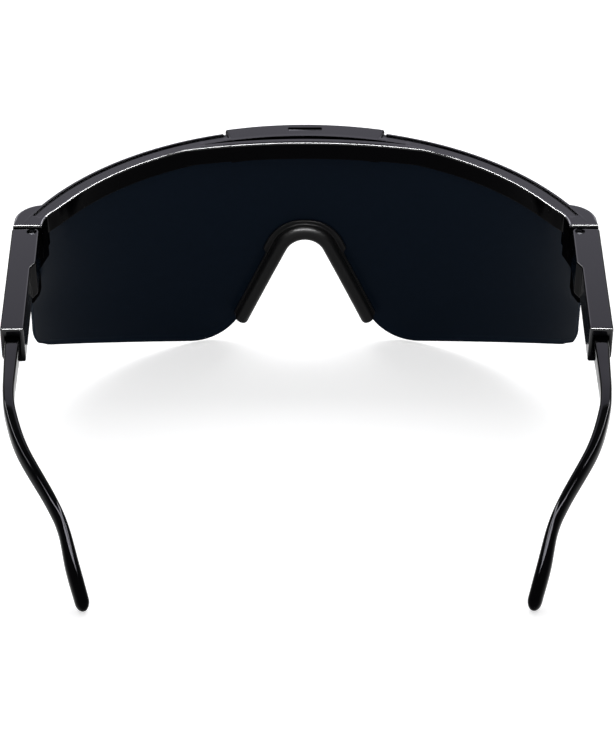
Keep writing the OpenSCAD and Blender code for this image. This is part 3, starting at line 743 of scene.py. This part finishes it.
def channel_cut(s, side):
    """Room in a block for the bar's channel, a little wider and deeper than the channel,
    from well before the channel's end to just past it."""
    b = s.brow
    spare = 0.12 * MM
    outer = radii(s)[3] - b.ridge + spare
    inner, low = outer - b.channel - 2 * spare, -b.channel_depth - spare
    section = np.array([(inner, low), (inner, 1 * MM), (outer, 1 * MM), (outer, low)])
    angles = np.linspace(-0.25, 0.004, 12) + channel_end_angle(s)
    rings = round_wrap(np.broadcast_to(section, (12, 4, 2)), angles, b)
    return skin("channel", on_table(mirrored(rings, side), s))


def side_lug(s):
    """A channel section that holds the lens's side edge, carried down from the block, with
    a slanted shoulder and a round lower corner. Its groove is closed just past the lens's
    edge, and its side face stands a little further round."""
    b = s.brow
    rear, inner, outer, _ = radii(s)
    face = outer + 1.2 * MM
    mid_r = (inner + outer) / 2
    end = half_wrap(s) + math.radians(1)
    closed = half_wrap(s) + math.radians(0.15)
    mid = half_wrap(s) - math.radians(1.6)
    half = b.lug_width / 2 / mid_r
    shoulder, foot = -0.9 * MM - b.block_height, -2.1 * MM - b.block_height
    corner = 1.5 * MM
    bottom = corner * (1 - np.sin(np.linspace(0, 1, 7) * math.pi / 2)) - b.lug_drop
    z = np.concatenate([[-3 * MM], np.linspace(shoulder, foot, 4),
                        np.linspace(foot, 2 * MM - b.lug_drop, 6)[1:], bottom])
    start = np.interp(-z, [-shoulder, -foot, b.lug_drop - corner, b.lug_drop],
                      [lens_face_angle(s) - math.radians(0.8), mid - half, mid - half,
                       mid - half + corner / mid_r])
    corners = [(rear, start), (inner, start), (inner, closed), (outer, closed), (outer, start),
               (face, start), (face, end), (rear, end)]
    corners = [(r, a * mid_r) for r, a in corners]
    wanted = np.array([0.4, 0.3, 0.2, 0.2, 0.25, 0.35, 0.5, 0.5]) * MM
    outline, edge_marks = profiles(corners, wanted, z, 0, 5)
    r, a = outline[..., 0], outline[..., 1] / mid_r
    return wrapped(r, a, np.broadcast_to(z[:, None], r.shape), b), edge_marks


class SUNGLASSES_OT_brow(bpy.types.Operator):
    """Build the moulded brow: bar, lip, platform, end blocks and lens lugs"""

    bl_idname = "sunglasses.brow"
    bl_label = "Brow"

    def execute(self, context):
        s = context.scene.sunglasses
        nylon = made_once(moulded_nylon, s.finish)
        slot = ("front", "frame_nylon")
        for name, make in (("brow_bar", brow_bar), ("brow_lip", rear_lip),
                           ("brow_platform", platform)):
            rings, edge_marks = make(s)
            piece = new_piece(name, rings, s, edge_marks)
            if make is not rear_lip:
                carve(piece, pocket_cut(s))
            finish_piece(piece, nylon, *slot, ["brow_frame"])
        hinge = hinge_point(s)
        rear = block_rear(s.brow)
        tilt = rear - TILT_IN
        for name, side in SIDES:
            rings, edge_marks = end_block(s)
            block = new_piece("end_block_" + name, mirrored(rings, side), s, edge_marks)
            x, z, wide = side * hinge[0], hinge[2], SLOT_HALF
            reach, pin_end = 3.6 * MM, hinge[0] - 4 * MM
            # The slot, a box with a round end that reaches as far from the tilt pin as the
            # box is high to each side, and the pin's hole
            carve(block, channel_cut(s, side),
                  prism((x - wide, tilt, z - reach), (x + wide, rear + 2 * MM, z + reach), s),
                  drum((x - wide, tilt, z), (1, 0, 0), reach, 2 * wide, s),
                  drum((side * pin_end, tilt, z), (side, 0, 0), s.temple.pin_radius * 1.02,
                       s.temple.hinge_in + 3 * MM, s))
            finish_piece(block, nylon, *slot)
            rings, edge_marks = side_lug(s)
            # The lugs take a shaded copy of the nylon, with its reflections nearly turned off
            finish_piece(new_piece("lens_lug_" + name, mirrored(rings, side), s, edge_marks),
                         made_once(shaded_nylon, s.finish), *slot)
        return {"FINISHED"}


# The lens
def nose_line(x, off, pad):
    """The height of the nose opening's edge at x, set out by off: an arch, and legs that
    lean out and run on."""
    r = pad.arch + off
    knee = r * math.cos(pad.lean)
    x = np.abs(x)
    arch = np.sqrt(np.clip(r * r - x * x, 0, None))
    leg = r * math.sin(pad.lean) - (x - knee) / math.tan(pad.lean)
    return np.where(x < knee, arch, leg) - pad.drop


def bottom_line(angles, r, s):
    """The height of the lens's bottom edge at each angle and radius: a plane that rises
    to the rear, with round lobes, the nose opening and round outer corners."""
    l, b = s.lens, s.brow
    x = np.abs(r * np.sin(angles))
    y = wrap_centre(b) - r * np.cos(angles)
    slope = math.atan(l.rise)
    off = s.pad.flange + 1 * MM
    mid = radii(s)[1] + l.thickness / 2 + LENS_CLEAR
    leg_r = s.pad.arch + off
    foot_y = wrap_centre(b) - mid + 2.6 * MM
    foot_z = foot_y * l.rise - l.drop
    foot_x = leg_r * math.cos(s.pad.lean) + (leg_r * math.sin(s.pad.lean) - s.pad.drop
                                             - foot_z) * math.tan(s.pad.lean)
    lean = math.atan(math.tan(s.pad.lean) / math.cos(slope))
    lobe_x = foot_x + l.lobe / math.tan(math.pi / 4 + lean / 2)
    reach = np.clip(lobe_x - x, 0, l.lobe * math.cos(lean))
    lobe = (l.lobe - np.sqrt(l.lobe**2 - reach**2)) / math.cos(slope)
    plane = y * l.rise - l.drop + lobe
    end = (half_wrap(s) - np.abs(angles)) * mid
    corner = end_drop(end, l.corner)
    return np.maximum(plane + corner, nose_line(x, off, s.pad))


def shield_lens(s):
    """The lens: at each angle a loop goes down its inner face, round the cut edge, up its
    outer face and round its top. The edge's rounding is set off square to the outline.
    The outer half ends early at the block, to clear the tilt link. The side edges are cut
    at a slant, and the last radians before them, trimmed, are drawn in to make room."""
    l, b = s.lens, s.brow
    inner = radii(s)[1] + LENS_CLEAR
    outer = inner + l.thickness
    mid = (inner + outer) / 2
    step, last = lens_top_angle(s), lens_face_angle(s)
    nose = math.asin(26 * MM / mid)
    tip = l.corner / mid
    angles = np.unique(np.concatenate([
        np.linspace(-half_wrap(s), half_wrap(s), 161), np.linspace(-nose, nose, 261),
        *[k * (half_wrap(s) - tip * (1 - np.sin(np.linspace(0, math.pi / 2, 25)))) for k in (-1, 1)],
        *[k * (m + np.linspace(-0.002, 0.002, 5)) for k in (-1, 1) for m in (step, last)]]))
    a = angles[:, None]
    high, low = -(b.top + LENS_CLEAR), -(b.block_height + 1.8 * MM)
    top_in, top_out = (high + (low - high) * soft_step(np.abs(a), m + 0.001, 0.002)
                       for m in (last, step))
    turn = np.linspace(0, math.pi / 2, 6)
    e = l.edge
    r_edge = np.concatenate([inner + e * (1 - np.cos(turn)), outer - e * (1 - np.cos(turn))[::-1]])
    inset = np.concatenate([e * (1 - np.sin(turn)), e * (1 - np.sin(turn))[::-1]])
    edge = bottom_line(a, r_edge[None, :], s)
    along = np.gradient(bottom_line(angles, mid, s), angles * mid)[:, None]
    length = np.sqrt(1 + along**2)
    edge_a = np.clip(a - inset * along / length / mid, -half_wrap(s), half_wrap(s))
    edge_z = edge + inset / length
    rows = np.linspace(0, 1, 22)[None, 1:-1]
    crown = np.concatenate([top_out - inset[:6], top_out, top_in - inset[5::-1]], 1)
    r_crown = np.concatenate([r_edge[:5:-1], [inner + 0.6 * MM], r_edge[5::-1]])
    face_in_z = crown[:, -1:] + (edge_z[:, :1] - crown[:, -1:]) * rows
    face_in_a = a + (edge_a[:, :1] - a) * rows
    face_out_z = edge_z[:, -1:] + (crown[:, :1] - edge_z[:, -1:]) * rows
    face_out_a = edge_a[:, -1:] + (a - edge_a[:, -1:]) * rows
    z = np.concatenate([face_in_z, edge_z, face_out_z, crown], 1)
    at = np.concatenate([face_in_a, edge_a, face_out_a, np.broadcast_to(a, crown.shape)], 1)
    r_in, r_out = np.full(rows.size, inner), np.full(rows.size, outer)
    r = np.concatenate([r_in, r_edge, r_out, r_crown])[None, :]
    trimmed = 0.14
    near_end = np.clip(1 - (half_wrap(s) - np.abs(at)) / trimmed, 0, 1) * np.sign(at)
    at = at - near_end * (l.trim + l.slant * (r - inner) / l.thickness)
    cut = np.zeros(z.shape)
    cut[:, rows.size:rows.size + inset.size] = 1
    cut[[0, -1]] = 1
    return wrapped(r, at, z, b), cut


class SUNGLASSES_OT_lens(bpy.types.Operator):
    """Build the shield lens"""

    bl_idname = "sunglasses.lens"
    bl_label = "Shield lens"

    def execute(self, context):
        s = context.scene.sunglasses
        rings, cut = shield_lens(s)
        finish_piece(new_piece("lens", rings, s, cut), made_once(tinted_polycarbonate, s.finish),
                     "front", "lens", ["shield_lens"])
        return {"FINISHED"}


# The nose pad
def nose_pad(s):
    """A soft roll with two flanges, carried down one leg, over the arch and down the
    other. The path and its outward direction lie in the plane of the face, and depth is
    a radius of the wrap, so that the flanges follow the lens. The rear flange is wide over
    the arch, down to the shoulder, and narrow below it."""
    p, b = s.pad, s.brow
    _, inner, outer, _ = radii(s)
    bend = math.pi / 2 - p.lean
    arc = p.arch * bend
    total = arc + p.leg
    soft = 0.9 * MM
    along = np.concatenate([np.linspace(0, arc, 30), np.linspace(arc, total - soft, 24)[1:],
                            total - soft * (1 - np.sin(np.linspace(0, math.pi / 2, 9)[1:]))])
    along = np.concatenate([-along[:0:-1], along])
    side, run = np.sign(along), np.abs(along)
    t = np.minimum(run / p.arch, bend)
    down = np.maximum(run - arc, 0)
    normal = np.stack([side * np.sin(t), np.cos(t)], -1)
    ahead = np.stack([side * np.cos(t), -np.sin(t)], -1)
    path = p.arch * normal + ahead * down[:, None] - np.array([0, p.drop])
    wide, deep, f = p.width, inner - p.depth, p.flange
    shoulder = arc + 4 * MM
    cap = np.interp(run, (0, arc), (0.5, 1.5)) * (1 - soft_step(run, shoulder, 1.6 * MM))
    reach = (0.4 + cap) * f
    corners = [(0, outer + f), (0, deep), (wide, deep), (wide, inner - f),
               (wide + reach, inner - f), (wide + reach, inner), (2 * MM, inner), (2 * MM, outer),
               (wide + f, outer), (wide + f, outer + f)]
    tight = np.minimum(0.35 * MM, 0.45 * reach)
    wanted = [0.6 * MM, 1.5 * MM, 2.3 * MM, np.minimum(0.5 * MM, 0.45 * reach), tight, tight,
              0.2 * MM, 0.2 * MM, 0.3 * MM, 0.5 * MM]
    outline, _ = profiles(corners, wanted, along)
    middle = np.array([wide / 2, (deep + outer) / 2])
    drop = end_drop(total - run, soft)[:, None, None]
    share = 1 - drop / np.array([wide, 2.6 * wide])
    outline = middle + (outline - middle) * share
    x = path[:, :1] + outline[..., 0] * normal[:, :1]
    z = path[:, 1:] + outline[..., 0] * normal[:, 1:]
    return np.stack([x, wrap_centre(b) - np.sqrt(outline[..., 1] ** 2 - x * x), z], -1)


class SUNGLASSES_OT_nose_pad(bpy.types.Operator):
    """Build the rubber nose pad"""

    bl_idname = "sunglasses.nose_pad"
    bl_label = "Nose pad"

    def execute(self, context):
        s = context.scene.sunglasses
        piece = new_piece("nose_saddle", nose_pad(s), s)
        finish_piece(piece, made_once(moulded_rubber, s.finish), "front", "pad_rubber",
                     ["nose_pad"], sharp=60)
        return {"FINISHED"}


# The temples
def temple_sleeve(s):
    """A rounded box section carried backwards. Its inner face steps out, and its ends are
    rounded seen from above and from the side."""
    t = s.temple
    v0, v1 = HINGE_GAP - t.hinge_back, t.sleeve_length
    soft_in, soft_out, soft_top = 1.5 * MM, 0.6 * MM, 0.7 * MM
    turn = 1 - np.sin(np.linspace(0, math.pi / 2, 13))
    slant = t.front_width - t.rear_width
    v = np.unique(np.concatenate([v0 + soft_in * turn, v0 + soft_top * turn, v1 - soft_out * turn,
                                  np.linspace(v0 + soft_in, v1 - soft_out, 30),
                                  t.step + t.step_length * np.linspace(-0.2, 1.2, 15)]))
    u_in = t.sleeve_out - t.front_width + slant * np.clip((v - t.step) / t.step_length, 0, 1)
    u_in = u_in + end_drop(v - v0, soft_in) + end_drop(v1 - v, soft_out)
    u_out = t.sleeve_out - end_drop(v - v0, soft_out) - end_drop(v1 - v, soft_out)
    tall = t.sleeve_height / 2 - end_drop(v - v0, soft_top) - end_drop(v1 - v, soft_top)
    corners = (u_in, tall), (u_out, tall), (u_out, -tall), (u_in, -tall)
    wanted = np.array([0.5, 0.5, 1.8, 0.5]) * MM
    # The inner top edge is marked a little, and the top edges at both ends more: lightened partly as
    # wear and partly as a painted highlight, and polished
    outline, edge_marks = profiles(corners, wanted, v, np.array([0.1, 0, 0, 0]))
    behind = np.broadcast_to(v[:, None], outline.shape[:2])
    rings = np.stack([outline[..., 0], behind, outline[..., 1]], -1)
    near = np.minimum(v - v0, v1 - v) / soft_top
    upper = outline[..., 1] > 0.85 * tall[:, None]
    worn = np.clip(1 - 4 * (near - 0.3) ** 2, 0, 1)[:, None] * upper
    return along_sleeve(rings, s), np.maximum(edge_marks, worn)


def arm_stations(t):
    """Stations of the arm: offset outwards from the bar, distance behind the sleeve and
    rise over the bar, then the section's width, its height, and how square it is."""
    w, h = t.arm_width / MM, t.arm_height / MM
    in_mm = [(0, 2 - t.arm_inside / MM, 0, w, h, 9), (0, -12, 0, w, h, 9), (0, -6, 0, w, h, 7),
             (0, 3, 0, w, h, 7), (-0.1, 11, 0, w - 0.4, h - 0.2, 6),
             (-0.4, 22, 0, w - 0.8, h - 0.5, 5), (-1.5, 30, -0.5, w - 0.7, h - 0.8, 4),
             (-4.8, 41, -2.5, w - 0.6, h - 1, 3), (-11.7, 54, -7, w - 0.8, h - 1.1, 2.6),
             (-14.8, 60.5, -10.5, w - 0.8, h - 1.2, 2.4),
             (-17, 68.5, -15.3, w - 0.2, h - 0.5, 2.4), (-19.1, 75, -19.6, w - 0.3, h - 0.6, 2.4)]
    return np.array(in_mm) * np.array([MM] * 5 + [1])


def through(stations, steps):
    """A smooth curve through the stations, by cubics whose slope at each is the chord
    between its neighbours."""
    q = np.concatenate([[2 * stations[0] - stations[1]], stations,
                        [2 * stations[-1] - stations[-2]]])
    at = np.linspace(0, len(stations) - 1, (len(stations) - 1) * steps + 1)
    i = np.minimum(at.astype(int), len(stations) - 2)
    t = (at - i)[:, None]
    a, b, c, d = q[i], q[i + 1], q[i + 2], q[i + 3]
    return 0.5 * (2 * b + (c - a) * t + (2 * a - 5 * b + 4 * c - d) * t**2
                  + (3 * b - a - 3 * c + d) * t**3)


def temple_arm(s):
    """A section between an oval and a rounded square, carried square to a curved path and
    closed by a round tip."""
    t = s.temple
    path = through(arm_stations(t), 14)
    mid_u = t.sleeve_out - t.rear_width / 2
    place = path[:, :3] + np.array([mid_u, t.sleeve_length, 0])
    ahead = unit(np.gradient(place, axis=0))
    tip = path[-1, 4] / 2 * 1.05
    turn = np.linspace(0, math.pi / 2, 11)[1:]
    place = np.concatenate([place, place[-1] + ahead[-1] * tip * np.sin(turn)[:, None]])
    shrink = np.concatenate([np.ones(len(path)), np.cos(turn) + 1e-3])[:, None]
    ahead = np.concatenate([ahead, np.repeat(ahead[-1:], len(turn), 0)])
    spec = np.concatenate([path[:, 3:], np.repeat(path[-1:, 3:], len(turn), 0)])
    side = unit(np.cross(ahead, (0, 0, 1)))
    up = np.cross(side, ahead)
    a = np.linspace(0, 2 * math.pi, 56, endpoint=False)[None, :]
    e = 2 / spec[:, 2:]
    across = np.sign(np.cos(a)) * np.abs(np.cos(a)) ** e * spec[:, :1] / 2 * shrink
    high = np.sign(np.sin(a)) * np.abs(np.sin(a)) ** e * spec[:, 1:2] / 2 * shrink
    rings = place[:, None] + across[..., None] * side[:, None] + high[..., None] * up[:, None]
    return along_sleeve(rings, s)


class SUNGLASSES_OT_sleeves(bpy.types.Operator):
    """Build the two temple sleeves"""

    bl_idname = "sunglasses.sleeves"
    bl_label = "Temple sleeves"

    def execute(self, context):
        s = context.scene.sunglasses
        t = s.temple
        nylon = made_once(moulded_nylon, s.finish)
        mid_u = t.sleeve_out - t.rear_width / 2
        inner = t.sleeve_out - t.front_width
        half_w, half_h = t.arm_width / 2 + SLIDE_CLEAR, t.arm_height / 2 + SLIDE_CLEAR
        start, end = t.sleeve_length - t.arm_inside - 0.5 * MM, t.sleeve_length + 2 * MM
        top, tongue = t.sleeve_height / 2, 2.75 * MM
        for name, side in SIDES:
            def placed(points, s, side=side):
                return mirrored(along_sleeve(points, s), side)
            rings, edge_marks = temple_sleeve(s)
            piece = new_piece("sleeve_" + name, mirrored(rings, side), s, edge_marks)
            # Room for the tilt link's tongue, the hinge pin's hole, the recesses over it,
            # and the arm's socket
            carve(piece,
                  prism((inner - 1 * MM, -2 * MM, -tongue), (2.1 * MM, 2.1 * MM, tongue), s, placed),
                  drum((0, 0, -2 * top), (0, 0, 1), t.pin_radius * 1.01, 4 * top, s, placed),
                  drum((0, 0, top - t.recess_depth), (0, 0, 1), t.recess_radius, 2 * MM, s, placed),
                  drum((0, 0, t.recess_depth - top), (0, 0, -1), t.recess_radius, 2 * MM, s, placed),
                  prism((mid_u - half_w, start, -half_h), (mid_u + half_w, end, half_h), s, placed))
            finish_piece(piece, nylon, "temple_" + name, "frame_nylon", ["temple_sleeve_" + name])
        return {"FINISHED"}


class SUNGLASSES_OT_arms(bpy.types.Operator):
    """Build the two sliding arms"""

    bl_idname = "sunglasses.arms"
    bl_label = "Temple arms"

    def execute(self, context):
        s = context.scene.sunglasses
        for name, side in SIDES:
            piece = new_piece("arm_" + name, mirrored(temple_arm(s), side), s)
            finish_piece(piece, made_once(polished_nylon, s.finish), "arm_" + name, "arm_nylon",
                         ["temple_arm_" + name])
        return {"FINISHED"}


class SUNGLASSES_OT_hinges(bpy.types.Operator):
    """Finish the tilt links and the pins"""

    bl_idname = "sunglasses.hinges"
    bl_label = "Links and pins"

    def execute(self, context):
        finish = context.scene.sunglasses.finish
        for name, node in frame["nodes"].items():
            if name.startswith("tilt_link"):
                make = moulded_nylon
            elif "_pin_" in name:
                make = drawn_steel
            else:
                continue
            node.data.materials.clear()
            node.data.materials.append(made_once(make, finish))
        return {"FINISHED"}


# The stage
def seen_rays(tree):
    """1 where the camera, a reflection or a refraction sees the surface, and 0 elsewhere."""
    path = add(tree, "ShaderNodeLightPath")
    seen = path.outputs["Is Camera Ray"]
    for ray in ("Is Glossy Ray", "Is Transmission Ray"):
        seen = add(tree, "ShaderNodeMath", links={0: seen, 1: path.outputs[ray]},
                   operation="MAXIMUM")
    return seen


def axes_at(place, x, y, z):
    """The matrix of an object at a place whose own axes point along x, y and z."""
    return Matrix.Translation(place) @ Matrix((x, y, z)).transposed().to_4x4()


def studio_floor(finish):
    """A plain pale floor. Where the camera or a reflection sees it, it glows a little, so
    that it reads as white and still shows the object's shadow."""
    material, tree = new_material("studio_floor")
    glow = add(tree, "ShaderNodeMath", {1: 0.6}, {0: seen_rays(tree)}, operation="MULTIPLY")
    light = add(tree, "ShaderNodeEmission", {"Color": (1, 1, 1, 1)}, {"Strength": glow})
    matt = add(tree, "ShaderNodeBsdfDiffuse", {"Color": linear(finish.floor)})
    both = add(tree, "ShaderNodeAddShader", links={0: matt, 1: light})
    add(tree, "ShaderNodeOutputMaterial", links={"Surface": both})
    return material


def softbox(name, place, wide, deep, glow, along=(1, 0, 0), accent=True, tint=(1, 1, 1)):
    """A soft rectangular lamp at a place, in metres, turned to the object, with its width
    along a direction, as bright as glow times its tint. The camera doesn't see it, and an
    accent shows in reflections only."""
    data = bpy.data.lights.new(name, "AREA")
    data.color = tint
    data.shape, data.size, data.size_y = "RECTANGLE", wide, deep
    data.energy = glow * math.pi * wide * deep
    lamp = new_object(name, data)
    back = Vector(place).normalized()
    across = back.cross(Vector(along)).normalized()
    lamp.matrix_world = axes_at(place, across.cross(back), across, back)
    lamp.visible_diffuse = not accent
    lamp.visible_camera = False


def photo_camera(s):
    """The camera: it looks down on the level brow by its height, with the middle of the
    rear lip at the aim point of the picture."""
    st = s.stage
    c, n = math.cos(st.height), math.sin(st.height)
    sc, sn = math.cos(st.side), math.sin(st.side)
    ahead, up = np.array((-sn * c, -sc * c, -n)), np.array((-sn * n, -sc * n, c))
    level = np.array((-sc, sn, 0))
    right = math.cos(st.roll) * level + math.sin(st.roll) * up
    up = math.cos(st.roll) * up - math.sin(st.roll) * level
    pixels = st.lens / SENSOR * LONG_SIDE
    ray = ahead + st.aim[0] / pixels * right + st.aim[1] / pixels * up
    spots = on_table(np.array([-ray * st.distance, right, up, ahead, (0, 0, 0)]), s)
    right, up, ahead = spots[1:4] - spots[4]
    data = bpy.data.cameras.new("photo_camera")
    data.lens, data.sensor_width, data.clip_start = st.lens, SENSOR, 0.01
    camera = new_object("photo_camera", data)
    camera.matrix_world = axes_at(spots[0], right, up, -ahead)
    bpy.context.scene.camera = camera


class SUNGLASSES_OT_stage(bpy.types.Operator):
    """Build the floor, the lamps and the camera"""

    bl_idname = "sunglasses.stage"
    bl_label = "Stage"

    def execute(self, context):
        s = context.scene.sunglasses
        scene = context.scene
        half, mesh = 4.0, bpy.data.meshes.new("floor")
        corners = [(-half, -half, 0), (half, -half, 0), (half, half, 0), (-half, half, 0)]
        mesh.from_pydata(corners, [], [(0, 1, 2, 3)])
        mesh.materials.append(studio_floor(s.finish))
        floor = new_object("floor", mesh)
        floor.location.z = CAD_BOX[0].z - 0.2 * MM
        world = bpy.data.worlds.new("studio")
        world.use_nodes = True
        tree = world.node_tree
        tree.nodes.clear()
        strength = add(tree, "ShaderNodeMapRange", {"To Min": 0.5, "To Max": 1.0},
                       {"Value": seen_rays(tree)})
        sky = add(tree, "ShaderNodeBackground", {"Color": (1, 1, 1, 1)}, {"Strength": strength})
        add(tree, "ShaderNodeOutputWorld", links={"Surface": sky})
        scene.world = world
        softbox("front_softbox", (0, -0.94, 1.05), 1.8, 0.9, 2.2, accent=False)
        softbox("front_card", (0, -0.8, 0.9), 1.1, 0.7, 6.0, tint=(0.84, 0.81, 1.0))
        softbox("strip", (0, 0.35, 1.1), 1.1, 0.16, 150)
        for name, side in SIDES:
            softbox("strip_" + name, (side * 0.73, -0.19, 1.06), 0.95, 0.16, 130,
                    (side * 0.17, -0.57, -0.22))
        scene.view_settings.view_transform = "Standard"
        photo_camera(s)
        return {"FINISHED"}


class SUNGLASSES_PT_panel(bpy.types.Panel):
    """The steps, in order"""

    bl_label = "Sunglasses"
    bl_idname = "SUNGLASSES_PT_panel"
    bl_space_type = "VIEW_3D"
    bl_region_type = "UI"
    bl_category = "Sunglasses"

    def draw(self, context):
        for step in STEPS:
            self.layout.operator(step.bl_idname)


STEPS = (SUNGLASSES_OT_brow, SUNGLASSES_OT_lens, SUNGLASSES_OT_nose_pad, SUNGLASSES_OT_sleeves,
         SUNGLASSES_OT_arms, SUNGLASSES_OT_hinges, SUNGLASSES_OT_stage)
CLASSES = (BrowSizes, LensSizes, PadSizes, TempleSizes, Finishes, StageSizes, Sunglasses,
           *STEPS, SUNGLASSES_PT_panel)


def register():
    for known in CLASSES:
        bpy.utils.register_class(known)
    bpy.types.Scene.sunglasses = PointerProperty(type=Sunglasses)


def unregister():
    del bpy.types.Scene.sunglasses
    for known in reversed(CLASSES):
        bpy.utils.unregister_class(known)


def main():
    register()
    bpy.ops.sunglasses.brow()
    bpy.ops.sunglasses.lens()
    bpy.ops.sunglasses.nose_pad()
    bpy.ops.sunglasses.sleeves()
    bpy.ops.sunglasses.arms()
    bpy.ops.sunglasses.hinges()
    bpy.ops.sunglasses.stage()


if __name__ == "__main__":
    main()
